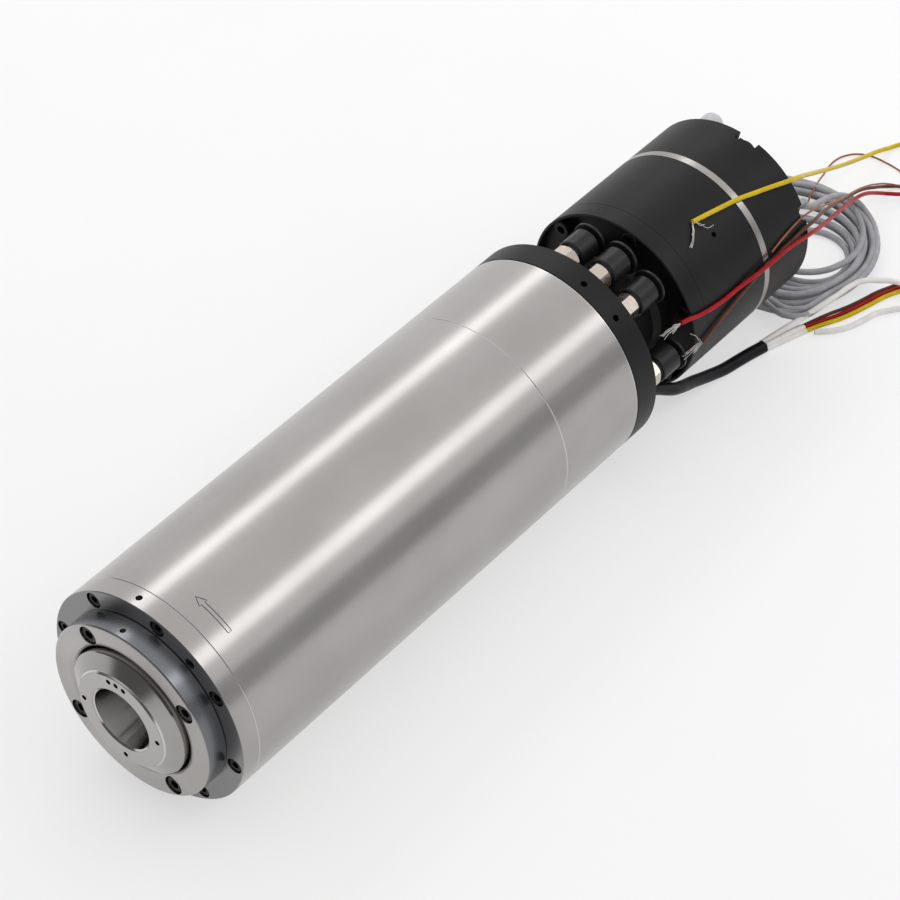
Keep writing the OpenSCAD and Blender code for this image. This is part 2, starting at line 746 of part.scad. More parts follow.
// Ball rows and cages of all four bearings
module bearing_balls() {
    color([0.6, 0.62, 0.64]) {
        ball_row(front_x0 + front_bearing_w / 2, front_pitch_r, front_ball_d / 2);
        ball_row(front_x2 + front_bearing_w / 2, front_pitch_r, front_ball_d / 2);
        ball_row(rear_b0 + rear_bearing_w / 2, rear_pitch_r, rear_ball_d / 2);
        ball_row(rear_b1 + rear_bearing_w / 2, rear_pitch_r, rear_ball_d / 2);
    }
}

// Spacer between the outer races of the front pair
module outer_spacer() {
    color([0.6, 0.61, 0.62])
        pipe(front_x1, spacer_l, front_od_r, front_od_r - 4);
}

// Spacer between the inner races of the front pair
module inner_spacer() {
    color([0.6, 0.61, 0.62])
        pipe(front_x1, spacer_l, front_seat_r + 4, front_seat_r);
}

// Ring nut that clamps the outer races in the front housing
module outer_ring_nut() {
    color([0.4, 0.41, 0.42])
        difference() {
            pipe(front_x3, nut_l, front_od_r, front_od_r - 7);
            around(4, front_od_r - 3.5, 0)
                bar(front_x4 - 3, 3 + over, 1.5);
        }
}

// Shaft nuts that clamp the inner races
module shaft_nuts() {
    color([0.4, 0.41, 0.42]) {
        difference() {
            pipe(front_x3, nut_l, front_seat_r + 6.5, front_seat_r);
            around(4, front_seat_r + 6.5, 0)
                bar(front_x3 - over, nut_l + 2 * over, 1.8);
        }
        difference() {
            pipe(rear_b2, nut_l, rear_seat_r + 6.5, rear_seat_r);
            around(4, rear_seat_r + 6.5, 0)
                bar(rear_b2 - over, nut_l + 2 * over, 1.8);
        }
    }
}

// Laminated rotor with its end rings
module rotor_core() {
    end_ring = 6;
    color([0.5, 0.51, 0.53]) {
        pipe(stack_x0, stack_l, rotor_r, rotor_bore_r);
        pipe(stack_x0 - end_ring, end_ring, rotor_r - 1.5, rotor_bore_r + 3);
        pipe(stack_x1, end_ring, rotor_r - 1.5, rotor_bore_r + 3);
    }
}

// Toothed ring on the shaft for the speed sensor
module sensor_ring() {
    color([0.35, 0.36, 0.38])
        difference() {
            pipe(sensor_ring_x, sensor_ring_l, sensor_ring_r, shaft_tail_r);
            around(sensor_teeth, sensor_ring_r + 0.5, 0)
                translate([sensor_ring_x - over, -sensor_tooth_r, -sensor_tooth_r])
                    cube([sensor_ring_l + 2 * over, 2 * sensor_tooth_r, 2 * sensor_tooth_r]);
        }
}

// Speed sensor in the rear hollow, its tip over the toothed ring
module speed_sensor() {
    tip_r = sensor_ring_r + sensor_tip_gap;
    color([0.12, 0.12, 0.13])
        rotate([speed_sensor_angle, 0, 0])
            translate([sensor_ring_x + sensor_ring_l / 2, tip_r, 0])
                rotate([-90, 0, 0]) {
                    cylinder(h = sensor_tip_l, r = sensor_tip_r);
                    translate([0, 0, sensor_tip_l])
                        cylinder(h = rear_hollow_r + sensor_seat - tip_r - sensor_tip_l,
                            r = sensor_body_r);
                }
}

// Spindle shaft with nose flange, bearing seats and the stepped bore for the gripper
module spindle_shaft() {
    zone_x0 = front_x4 + 4;
    color([0.5, 0.51, 0.53])
        difference() {
            turned([[taper_r + mouth_chamfer, nose_x0], [face_r, nose_x0],
                [face_r + 0.8, nose_x0 + 1], [nose_r - 0.4, nose_rim_x - 0.4],
                [nose_r, nose_rim_x], [nose_r, nose_back_x], [shoulder_r, nose_back_x],
                [shoulder_r, front_x0], [front_seat_r, front_x0], [front_seat_r, front_x4],
                [rotor_bore_r + 2, front_x4 + 1], [rotor_bore_r + 2, zone_x0],
                [rotor_bore_r, zone_x0], [rotor_bore_r, stack_x1 + 8],
                [rear_seat_r, stack_x1 + 8], [rear_seat_r, sensor_ring_x - sensor_ring_gap / 2],
                [shaft_tail_r, sensor_ring_x], [shaft_tail_r, shaft_x1 - 1],
                [shaft_tail_r - 1, shaft_x1], [spring_bore_r, shaft_x1],
                [spring_bore_r, spring_x0], [closing_r, spring_x0], [closing_r, ramp_x1],
                [ramp_r, ramp_x0], [ramp_r, pilot_x1], [taper_end_r, pilot_x1 - 0.5],
                [taper_end_r, taper_x1], [taper_r, nose_x0 + mouth_chamfer * 0.8]]);
            for (a = balance_angles)
                at_angle(balance_r, a)
                    bar(nose_x0 - over, balance_depth + over, balance_d / 2);
        }
}

// Disc springs, stacked in threes and set cone against cone
module disc_springs() {
    lift = spring_pitch - spring_stack_t - spring_touch;
    color([0.45, 0.4, 0.3])
        for (i = [0 : spring_count - 1]) {
            x = spring_x0 + i * spring_pitch;
            inner_x = (i % 2 == 0) ? x : x + lift;
            outer_x = (i % 2 == 0) ? x + lift : x;
            turned([[spring_r0, inner_x], [spring_r1, outer_x],
                [spring_r1, outer_x + spring_stack_t], [spring_r0, inner_x + spring_stack_t]]);
        }
}

// Drawbar: slotted head with the petal pins, rod through the springs, collar and tail
module drawbar() {
    slot_w2 = lug_w + 2 * lug_gap;
    pin_l = 10.6;
    color([0.6, 0.61, 0.63]) {
        difference() {
            turned([[0, head_x0], [head_r, head_x0], [head_r, head_x1], [drawbar_r, head_x1 + 2],
                [drawbar_r, spring_x1], [collar_r, spring_x1], [collar_r, spring_x1 + collar_l],
                [drawbar_tail_r, spring_x1 + collar_l], [drawbar_tail_r, drawbar_x1 - 1],
                [drawbar_tail_r - 1, drawbar_x1], [0, drawbar_x1]]);
            for (i = [0 : 3])
                rotate([45 + i * 90, 0, 0])
                    translate([head_x0 - over, lug_floor_r, -slot_w2 / 2])
                        cube([pivot_x + 3 - head_x0 + over, head_r, slot_w2]);
        }
        for (i = [0 : 3])
            rotate([45 + i * 90, 0, 0])
                translate([pivot_x, pivot_r, -pin_l / 2])
                    cylinder(h = pin_l, r = pin_r, $fn = 48);
    }
}

// Gripper petal: a quarter of a stepped sleeve with a lug on the pin behind it
module petal(index) {
    mouth_x = petal_x0 + 2.8;
    color([0.66, 0.67, 0.68])
        rotate([45 + index * 90, 0, 0])
            difference() {
                union() {
                    rotate([0, 90, 0])
                        rotate([0, 0, 90 - petal_angle / 2])
                            rotate_extrude(angle = petal_angle)
                                polygon([[knob_r, petal_x0],
                                    [closing_r + petal_head_l * ramp_slope - petal_head_gap, petal_x0],
                                    [closing_r - petal_head_gap, ramp_x1], [petal_r, ramp_x1 + 1.5],
                                    [petal_r, petal_x1], [knob_r, petal_x1], [knob_r, ramp_x1 + 1.5],
                                    [grip_r, ramp_x1], [grip_r, mouth_x]]);
                    intersection() {
                        bar(petal_x1 - 1.4, pivot_x + 2 - petal_x1 + 1.4, petal_r - lug_relief);
                        translate([petal_x1 - 2, lug_floor_r + 0.4, -lug_w / 2])
                            cube([pivot_x + 4 - petal_x1, petal_r, lug_w]);
                    }
                }
                translate([pivot_x, pivot_r, -lug_w])
                    cylinder(h = 2 * lug_w, r = pin_hole_r, $fn = 48);
            }
}

module petal_1() {
    petal(0);
}

module petal_2() {
    petal(1);
}

module petal_3() {
    petal(2);
}

module petal_4() {
    petal(3);
}

// Rear flange that closes the body and carries the fittings
module rear_flange() {
    spigot_x0 = rear_x1 - 2.5;
    color([0.08, 0.08, 0.09])
        difference() {
            union() {
                chamfered(rear_x1, flange_t, body_r, edge);
                pipe(spigot_x0, rear_x1 - spigot_x0 + over, rear_hollow_r, flange_bore_r + 6);
            }
            bar(rear_x1 - over, flange_t + 2 * over, flange_bore_r);
            bar(neck_x0, neck_seat + over, neck_r);
            for (a = port_angles)
                at_angle(port_r, a)
                    bar(flange_x1 - port_stem_l, port_stem_l + over, port_stem_r);
            at_angle(port_r, plug_angle)
                bar(flange_x1 - port_stem_l, port_stem_l + over, port_stem_r);
            at_angle(port_r, gland_angle)
                bar(rear_x1 - over, flange_t + 2 * over, gland_stem_r);
            around(flange_screw_count, flange_screw_r, flange_screw_angle) {
                bar(flange_x1 - m4_head_l - 0.6, m4_head_l + 0.6 + over, m4_head_r + 0.4);
                bar(rear_x1 - over, flange_t, m4_d / 2);
            }
            for (a = [107.2, 130])
                rotate([a, 0, 0])
                    translate([rear_x1 + 6.3, body_r - 5, 0])
                        rotate([-90, 0, 0])
                            cylinder(h = 5 + over, r = 1.7);
        }
}

// Screws that hold the rear flange
module flange_screws() {
    color([0.2, 0.2, 0.21])
        around(flange_screw_count, flange_screw_r, flange_screw_angle)
            mirror([1, 0, 0])
                cap_screw(-flange_x1 + 0.6, m4_head_r, m4_head_l, m4_d / 2, flange_t + 3);
}

// Nickel-plated hexagons of the tube fittings, screwed into the flange
module port_hexes() {
    color([0.75, 0.76, 0.77])
        for (a = port_angles)
            at_angle(port_r, a)
                difference() {
                    union() {
                        intersection() {
                            along_x(flange_x1)
                                cylinder(h = port_hex_l - port_neck_l, r = port_hex_r, $fn = 6);
                            chamfered(flange_x1, port_hex_l - port_neck_l, port_hex_r, 0.8);
                        }
                        bar(flange_x1 - port_stem_l, port_stem_l + over, port_stem_r);
                        bar(port_x1 - port_neck_l - over, port_neck_l + over, port_neck_r);
                    }
                    bar(flange_x1 - port_stem_l - over, port_stem_l + port_hex_l + 2 * over,
                        port_bore_r - tube_stop);
                }
}

// Black bodies of the tube fittings
module port_bodies() {
    color([0.07, 0.07, 0.08])
        for (a = port_angles)
            at_angle(port_r, a)
                difference() {
                    turned([[port_bore_r, port_x1], [port_body_r - 0.6, port_x1],
                        [port_body_r, port_x1 + 0.6], [port_body_r, port_x2 - 0.8],
                        [port_body_r - 0.8, port_x2], [port_bore_r, port_x2]]);
                    bar(port_x2 - ring_recess_l, ring_recess_l + over, ring_recess_r);
                }
}

// Release ring of one tube fitting, pressed in to free the tube
module release_ring(index) {
    sleeve_r = ring_recess_r - running_gap;
    color([0.06, 0.06, 0.07])
        at_angle(port_r, port_angles[index])
            turned([[port_bore_r + 0.1, ring_x0 - ring_sleeve_l], [sleeve_r, ring_x0 - ring_sleeve_l],
                [sleeve_r, ring_x0], [release_ring_d / 2 - 0.3, ring_x0],
                [release_ring_d / 2, ring_x0 + 0.3], [release_ring_d / 2, ring_x0 + ring_t - 0.4],
                [release_ring_d / 2 - 0.4, ring_x0 + ring_t],
                [port_bore_r + 0.8, ring_x0 + ring_t], [port_bore_r + 0.1, ring_x0 + ring_t - 0.7]]);
}

module ring_1() {
    release_ring(0);
}

module ring_2() {
    release_ring(1);
}

module ring_3() {
    release_ring(2);
}

module ring_4() {
    release_ring(3);
}

// Plug in the fitting place that is not used
module blanking_plug() {
    color([0.07, 0.07, 0.08])
        at_angle(port_r, plug_angle)
            difference() {
                union() {
                    chamfered(flange_x1, 4, 7, 0.5);
                    bar(flange_x1 - port_stem_l, port_stem_l + over, port_stem_r);
                }
                along_x(flange_x1 + 1.5)
                    cylinder(h = 4, r = 2.9, $fn = 6);
            }
}

// Gland of the power cable: hexagon, dome nut and the stem in the flange
module cable_gland() {
    color([0.09, 0.09, 0.1])
        at_angle(port_r, gland_angle)
            union() {
                along_x(flange_x1)
                    cylinder(h = gland_hex_l, r = gland_r, $fn = 6);
                turned([[0, flange_x1], [gland_r - 0.9, flange_x1],
                    [gland_r - 0.9, flange_x1 + gland_l - 3],
                    [gland_r - 2, flange_x1 + gland_l - 0.8],
                    [gland_r - 2.6, flange_x1 + gland_l], [0, flange_x1 + gland_l]]);
                bar(rear_x1 + 2, flange_t - 2 + over, gland_stem_r);
            }
}

// Neck tube between the flange and the release cylinder
module release_neck() {
    color([0.1, 0.1, 0.11])
        turned([[neck_bore_r, neck_x0], [neck_r, neck_x0], [neck_r, flange_x1 + 4],
            [neck_r - neck_waist, flange_x1 + 8], [neck_r - neck_waist, cap_x0 - 5],
            [neck_r, cap_x0 - 1], [neck_r, plate_x0], [neck_bore_r, plate_x0]]);
}

// Front cap of the cylinder: lip, recessed plate and spigot
module front_cap() {
    color([0.09, 0.09, 0.1])
        difference() {
            turned([[bush_r, plate_x0], [cylinder_r - cap_lip, plate_x0],
                [cylinder_r - cap_lip, cap_x0], [cylinder_r - 0.5, cap_x0],
                [cylinder_r, cap_x0 + 0.5], [cylinder_r, barrel_x0], [barrel_r, barrel_x0],
                [barrel_r, barrel_x0 + cap_spigot], [bush_r, barrel_x0 + cap_spigot]]);
            around(6, cap_screw_r, cap_screw_angle)
                bar(plate_x0 - over, cap_plate_t + 2 * over, m5_d / 2);
        }
}

// Six screws through the front cap into the barrel
module cap_screws() {
    color([0.16, 0.16, 0.17])
        around(6, cap_screw_r, cap_screw_angle)
            cap_screw(plate_x0 - m5_head_l, m5_head_r, m5_head_l, m5_d / 2,
                cap_plate_t + barrel_thread_l);
}

// Cylinder barrel with its bore and the screw holes at both ends
module cylinder_barrel() {
    color([0.11, 0.11, 0.12])
        difference() {
            turned([[barrel_r, barrel_x0], [cylinder_r - 0.3, barrel_x0],
                [cylinder_r, barrel_x0 + 0.3], [cylinder_r, barrel_x1 - 0.3],
                [cylinder_r - 0.3, barrel_x1], [barrel_r, barrel_x1]]);
            around(6, cap_screw_r, cap_screw_angle)
                bar(barrel_x0 - over, barrel_thread_l + over, m5_d / 2);
            around(6, rear_screw_r, rear_screw_angle)
                bar(barrel_x1 - barrel_thread_l, barrel_thread_l + over, m5_d / 2);
            rotate([131, 0, 0])
                translate([partition_x0 + 3, barrel_r + 4, 0])
                    rotate([-90, 0, 0])
                        cylinder(h = cylinder_r, r = 1.4);
        }
}

// Fixed wall between the two air chambers
module cylinder_partition() {
    color([0.6, 0.61, 0.62])
        pipe(partition_x0, partition_t, barrel_r, bush_r);
}

// Silver end plate with the rear spigot
module end_plate() {
    color([0.78, 0.79, 0.8])
        difference() {
            turned([[bush_r, end_spigot_x0], [barrel_r, end_spigot_x0], [barrel_r, barrel_x1],
                [cylinder_r, barrel_x1], [cylinder_r, end_x1], [bush_r, end_x1]]);
            around(6, rear_screw_r, rear_screw_angle)
                bar(barrel_x1 - over, end_plate_t + 2 * over, m5_d / 2);
        }
}

// Bushes that guide the piston rod in the cap, the partition and the end plate
module rod_bushes() {
    color([0.7, 0.55, 0.25]) {
        pipe(plate_x0, cap_plate_t + cap_spigot, bush_r, bush_bore_r);
        pipe(partition_x0, partition_t, bush_r, bush_bore_r);
        pipe(end_spigot_x0, end_spigot + end_plate_t, bush_r, bush_bore_r);
    }
}

// Piston rod that pushes the drawbar
module piston_rod() {
    color([0.7, 0.71, 0.73])
        difference() {
            turned([[0, rod_x0], [rod_r - 1, rod_x0], [rod_r, rod_x0 + 1], [rod_r, rod_x1 - 0.6],
                [rod_r - 0.6, rod_x1], [0, rod_x1]]);
            along_x(rod_x1 - 5)
                cylinder(h = 5 + over, r = 4, $fn = 6);
        }
}

// Two pistons on the rod, each with a seal groove
module pistons() {
    color([0.66, 0.67, 0.68])
        for (x1 = [piston_1_x1, piston_2_x1])
            difference() {
                pipe(x1 - piston_t, piston_t, piston_r, rod_r);
                pipe(x1 - piston_t / 2 - 1.5, 3, piston_r + over, piston_r - 2.5);
            }
}

// Seal rings in the pistons' grooves
module piston_seals() {
    color([0.05, 0.05, 0.05])
        for (x1 = [piston_1_x1, piston_2_x1])
            pipe(x1 - piston_t / 2 - 1.3, 2.6, piston_r + running_gap / 2, piston_r - 2.5);
}

// Rear cover: a cup with two notches in its rim
module rear_cover() {
    color([0.1, 0.1, 0.11])
        difference() {
            turned([[rod_guide_bore, end_x1], [cylinder_r, end_x1], [cylinder_r, cover_x1 - edge],
                [cylinder_r - edge, cover_x1], [cover_bore_r, cover_x1],
                [cover_bore_r, end_x1 + floor_t], [rod_guide_bore, end_x1 + floor_t]]);
            around(6, rear_screw_r, rear_screw_angle)
                bar(end_x1 - over, floor_t + 2 * over, m5_d / 2);
            rotate([elbow_angle, 0, 0])
                translate([cover_x1 - notch_depth, cover_bore_r - 2, -notch_w / 2])
                    cube([notch_depth + over, rear_cover_wall + 3, notch_w]);
            rotate([sensor_angle, 0, 0])
                translate([cover_x1 - notch_depth, cover_bore_r - 2, -sensor_notch_w / 2])
                    cube([notch_depth + over, rear_cover_wall + 3, sensor_notch_w]);
            for (i = [0 : 2])
                rotate([96.3 + i * 120, 0, 0])
                    translate([lid_x1 - 2.4, cover_bore_r - over, 0])
                        rotate([-90, 0, 0])
                            cylinder(h = rear_cover_wall + 2 * over, r = 1.3);
        }
}

// Screws inside the rear cover, through the end plate into the barrel
module rear_screws() {
    color([0.2, 0.2, 0.21])
        around(6, rear_screw_r, rear_screw_angle)
            mirror([1, 0, 0])
                cap_screw(-end_x1 - floor_t - m5_head_l, m5_head_r, m5_head_l, m5_d / 2,
                    floor_t + end_plate_t + barrel_thread_l);
}

// Lid in the rear cover with the places of the three connections
module rear_lid() {
    color([0.12, 0.12, 0.13])
        difference() {
            chamfered(lid_x0, lid_t, lid_r, 0.4);
            at_angle(elbow_r, elbow_angle)
                bar(lid_x0 - over, lid_t + 2 * over, lid_thread_r);
            at_angle(silencer_r, silencer_angle)
                bar(lid_x0 - over, lid_t + 2 * over, lid_thread_r);
            at_angle(sensor_gland_r, sensor_angle)
                bar(lid_x0 - over, lid_t + 2 * over, lid_thread_r);
            for (i = [0 : 2])
                rotate([96.3 + i * 120, 0, 0])
                    translate([lid_x1 - 2.4, lid_r - 4, 0])
                        rotate([-90, 0, 0])
                            cylinder(h = 6, r = 1.3);
        }
}

// Low elbow fitting on the lid, below the rim notch
module air_elbow() {
    elbow_h = 3.6;
    color([0.06, 0.06, 0.07])
        at_angle(elbow_r, elbow_angle) {
            bar(lid_x0 + 1, lid_t, lid_thread_r);
            difference() {
                union() {
                    turned([[0, lid_x1], [5.2, lid_x1], [5.2, lid_x1 + elbow_h - 1],
                        [4.2, lid_x1 + elbow_h], [0, lid_x1 + elbow_h]]);
                    translate([lid_x1 + elbow_h / 2 + 0.2, -14, 0])
                        rotate([-90, 0, 0])
                            cylinder(h = 14, r = elbow_h / 2);
                }
                translate([lid_x1 + elbow_h / 2 + 0.2, -14 - over, 0])
                    rotate([-90, 0, 0])
                        cylinder(h = 4, r = 1.1);
            }
        }
}

// Exhaust silencer: threaded foot and a domed porous body
module silencer() {
    dome_r = 6;
    dome_l = 24;
    color([0.72, 0.74, 0.76])
        at_angle(silencer_r, silencer_angle) {
            bar(lid_x0 + 1, lid_t, lid_thread_r);
            turned([[0, lid_x1], [dome_r + 0.4, lid_x1], [dome_r + 0.4, lid_x1 + 3],
                [dome_r, lid_x1 + 3], [dome_r, lid_x1 + dome_l - 4],
                [dome_r * 0.9, lid_x1 + dome_l - 2.2], [dome_r * 0.7, lid_x1 + dome_l - 1],
                [dome_r * 0.4, lid_x1 + dome_l - 0.2], [0, lid_x1 + dome_l]]);
        }
}

// Gland of the sensor cable on the lid, next to its notch
module sensor_gland() {
    color([0.1, 0.1, 0.11])
        at_angle(sensor_gland_r, sensor_angle) {
            bar(lid_x0 + 1, lid_t, lid_thread_r);
            turned([[0, lid_x1], [3.6, lid_x1], [3.6, lid_x1 + 4], [2.4, lid_x1 + 7], [0, lid_x1 + 7]]);
        }
}

function unit(v) = v / norm(v);

// Direction of the route at point i
function heading(p, i) = unit(p[min(i + 1, len(p) - 1)] - p[max(i - 1, 0)]);

// Sideways vector that stays level, so the rings do not twist
function sideways(t) = unit(cross([0, 0, 1], t));

function ring_points(c, t, r, sides) = [
    for (k = [0 : sides - 1])
        c + r * cos(k * 360 / sides) * sideways(t) + r * sin(k * 360 / sides) * cross(t, sideways(t))
];

// Tube of radius r along a route, closed at both ends
module tube(route, r, sides) {
    rings = [for (i = [0 : len(route) - 1]) ring_points(route[i], heading(route, i), r, sides)];
    last = len(route) - 1;
    polyhedron(
        points = [for (ring = rings) each ring],
        faces = concat(
            [[for (k = [0 : sides - 1]) k]],
            [for (i = [0 : last - 1], k = [0 : sides - 1])
                [i * sides + k, (i + 1) * sides + k, (i + 1) * sides + (k + 1) % sides,
                    i * sides + (k + 1) % sides]],
            [[for (k = [sides - 1 : -1 : 0]) last * sides + k]]));
}

// Power cable, from its gland to the end of its jacket
module power_cable() {
    color([0.05, 0.05, 0.05])
        tube(cable_route, cable_r, 12);
}

module yellow_lead() {
    color([0.85, 0.74, 0.1])
        tube(yellow_route, yellow_d / 2, 8);
}

module brown_lead() {
    color([0.3, 0.17, 0.12])
        tube(brown_route, brown_d / 2, 8);
}

module red_lead() {
    color([0.75, 0.08, 0.1])
        tube(red_route, red_d / 2, 8);
}

module white_lead() {
    color([0.88, 0.87, 0.84])
        tube(white_route, white_d / 2, 8);
}

// Sensor cable from its gland down to the coil
module sensor_cable() {
    color([0.6, 0.61, 0.63])
        tube(sensor_route, sensor_cable_d / 2, 8);
}

// Outer shape of the coiled sensor cable: loose turns round an off-centre hole, pushed under the rear cover
module sensor_coil() {
    color([0.6, 0.61, 0.63])
        difference() {
            translate([coil_x, coil_y, floor_z])
                rotate_extrude()
                    union() {
                        square([coil_r - coil_round, coil_h]);
                        translate([0, coil_round])
                            square([coil_r, coil_h - 2 * coil_round]);
                        for (z = [coil_round, coil_h - coil_round])
                            translate([coil_r - coil_round, z])
                                circle(r = coil_round, $fn = 32);
                    }
            translate([coil_hole_x, coil_hole_y, floor_z - over])
                cylinder(h = coil_h + 2 * over, r = coil_hole_r);
            bar(barrel_x1, cover_x1 + coil_gap - barrel_x1, cylinder_r + coil_gap);
        }
}

// Bare core of the sensor cable, from the coil up to the rear cover
module sensor_core() {
    color([0.5, 0.3, 0.22])
        tube(core_route, core_d / 2, 8);
}

front_housing();
front_cover();
cover_screws();
housing_screws();
main_sleeve();
cooling_jacket();
stator_core();
stator_windings();
rear_housing();
outer_rings();
outer_spacer();
outer_ring_nut();
rear_flange();
flange_screws();
port_hexes();
port_bodies();
blanking_plug();
cable_gland();
speed_sensor();
release_neck();
front_cap();
cap_screws();
cylinder_barrel();
cylinder_partition();
end_plate();
rear_cover();
rear_screws();
rear_lid();
air_elbow();
silencer();
sensor_gland();
rod_bushes();
power_cable();
yellow_lead();
brown_lead();
red_lead();
white_lead();
sensor_cable();
sensor_coil();
sensor_core();
spindle_shaft();
inner_rings();
bearing_balls();
inner_spacer();
shaft_nuts();
rotor_core();
sensor_ring();
disc_springs();
drawbar();
petal_1();
petal_2();
petal_3();
petal_4();
piston_rod();
pistons();
piston_seals();
ring_1();
ring_2();
ring_3();
ring_4();
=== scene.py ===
import math

import bpy
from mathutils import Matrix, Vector


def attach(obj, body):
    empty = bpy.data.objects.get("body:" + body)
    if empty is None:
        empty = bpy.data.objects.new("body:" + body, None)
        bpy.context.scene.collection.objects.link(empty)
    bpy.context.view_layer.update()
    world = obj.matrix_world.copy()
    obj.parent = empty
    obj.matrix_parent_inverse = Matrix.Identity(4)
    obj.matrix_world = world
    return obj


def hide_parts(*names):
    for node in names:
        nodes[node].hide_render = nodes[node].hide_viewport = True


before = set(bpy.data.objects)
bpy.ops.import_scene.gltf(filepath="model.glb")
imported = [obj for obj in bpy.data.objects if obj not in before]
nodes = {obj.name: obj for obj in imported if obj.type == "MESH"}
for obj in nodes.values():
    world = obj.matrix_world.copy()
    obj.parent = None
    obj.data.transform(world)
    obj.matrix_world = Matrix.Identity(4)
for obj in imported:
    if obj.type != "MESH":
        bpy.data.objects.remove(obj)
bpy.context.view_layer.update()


# Camera
# The photographer looked down at the nose from the front left with a long lens. Focal length and
# place are worked out from the round faces of the body, whose diameters are known.
FOCAL_PIXELS = 3146.7
FRAME_PIXELS = 900
camera_target = Vector((0.1363, -0.0557, 0.0797))
camera_distance = 1.3467
camera_azimuth = math.radians(-50.61)
camera_height = math.radians(44.43)

sight = Vector((
    math.sin(camera_azimuth) * math.cos(camera_height),
    -math.cos(camera_azimuth) * math.cos(camera_height),
    math.sin(camera_height),
))
bpy.ops.object.camera_add(location=camera_target + sight * camera_distance)
camera = bpy.context.object
camera.rotation_euler = (-sight).to_track_quat("-Z", "Y").to_euler()
camera.data.lens = FOCAL_PIXELS / FRAME_PIXELS * camera.data.sensor_width
camera.data.clip_start = 0.05
camera.data.clip_end = 20
bpy.context.scene.camera = camera


# Power cable
# The jacketed cable leaves its gland in the rear flange, drops to the bench and ends cut square
# where its cores come out. The jacket is extruded black rubber with a faint bloom.
CABLE_D = 0.0065
cable_route = [
    (0.301, -0.03831, -0.01952), (0.306, -0.0384, -0.0201), (0.311, -0.0388, -0.0219),
    (0.316, -0.0395, -0.0248), (0.321, -0.0404, -0.0282), (0.326, -0.041, -0.0314),
    (0.331, -0.0408, -0.0343), (0.338, -0.0398, -0.0383), (0.346, -0.039, -0.0422),
    (0.354, -0.0389, -0.0458), (0.362, -0.0392, -0.0488), (0.371, -0.0402, -0.0512),
    (0.38, -0.0416, -0.0517), (0.389, -0.0434, -0.0517), (0.398, -0.0456, -0.0517),
]


def lay_cord(name, route, diameter):
    """One smooth open curve through the points of the route, as thick as the cord."""
    line = bpy.data.curves.new(name, "CURVE")
    line.dimensions = "3D"
    line.bevel_depth = diameter / 2
    line.bevel_resolution = 4
    line.resolution_u = 5
    line.use_fill_caps = True
    spline = line.splines.new("BEZIER")
    spline.bezier_points.add(len(route) - 1)
    for point, place in zip(spline.bezier_points, route):
        point.co = place
        point.handle_left_type = point.handle_right_type = "AUTO"
    cord = bpy.data.objects.new(name, line)
    bpy.context.collection.objects.link(cord)
    return cord


def open_finish(name, colour, roughness, metallic=0.0):
    """A new material with its even values on the shader's own sockets."""
    finish = bpy.data.materials.new(name)
    finish.use_nodes = True
    shader = finish.node_tree.nodes["Principled BSDF"]
    shader.inputs["Base Color"].default_value = (*colour, 1)
    shader.inputs["Roughness"].default_value = roughness
    shader.inputs["Metallic"].default_value = metallic
    return finish, shader


def grain(finish, stretch, detail=3.0):
    """Noise in the object's own coordinates, with its frequency per metre along X, Y and Z."""
    tree = finish.node_tree
    place = tree.nodes.new("ShaderNodeTexCoord")
    mapping = tree.nodes.new("ShaderNodeMapping")
    mapping.inputs["Scale"].default_value = stretch
    noise = tree.nodes.new("ShaderNodeTexNoise")
    noise.inputs["Scale"].default_value = 1.0
    noise.inputs["Detail"].default_value = detail
    tree.links.new(place.outputs["Object"], mapping.inputs["Vector"])
    tree.links.new(mapping.outputs["Vector"], noise.inputs["Vector"])
    return noise.outputs["Fac"]


def vary_colour(finish, shader, value, dark, light):
    """Base colour that moves between two tones over the middle third of the grain."""
    tree = finish.node_tree
    ramp = tree.nodes.new("ShaderNodeValToRGB")
    for end, position, tone in zip(ramp.color_ramp.elements, (0.35, 0.65), (dark, light)):
        end.position = position
        end.color = (*tone, 1)
    tree.links.new(value, ramp.inputs["Fac"])
    tree.links.new(ramp.outputs["Color"], shader.inputs["Base Color"])


def vary_roughness(finish, shader, value, smooth, rough):
    """Roughness that moves between two values with the grain."""
    tree = finish.node_tree
    span = tree.nodes.new("ShaderNodeMapRange")
    span.inputs["From Min"].default_value = 0.3
    span.inputs["From Max"].default_value = 0.7
    span.inputs["To Min"].default_value = smooth
    span.inputs["To Max"].default_value = rough
    tree.links.new(value, span.inputs["Value"])
    tree.links.new(span.outputs["Result"], shader.inputs["Roughness"])


def emboss(finish, shader, value, depth):
    """Relief from the grain, with its depth in metres."""
    tree = finish.node_tree
    bump = tree.nodes.new("ShaderNodeBump")
    bump.inputs["Distance"].default_value = depth
    bump.inputs["Strength"].default_value = 1.0
    tree.links.new(value, bump.inputs["Height"])
    tree.links.new(bump.outputs["Normal"], shader.inputs["Normal"])


def insulation(name, dark, light, roughness):
    """Extruded plastic: slightly mottled, with fine drawing marks and little shine."""
    finish, shader = open_finish(name, light, roughness)
    mottle = grain(finish, (160, 160, 160))
    drawing_marks = grain(finish, (900, 900, 900))
    vary_colour(finish, shader, mottle, dark, light)
    vary_roughness(finish, shader, mottle, roughness - 0.06, roughness + 0.08)
    emboss(finish, shader, drawing_marks, 0.00004)
    shader.inputs["Specular IOR Level"].default_value = 0.15
    return finish


black_jacket = insulation("black_jacket", (0.005, 0.0055, 0.007), (0.009, 0.0095, 0.012), 0.4)
power_cable = lay_cord("power_cable_jacket", cable_route, CABLE_D)
power_cable.data.materials.append(black_jacket)
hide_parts("power_cable")
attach(power_cable, "root")


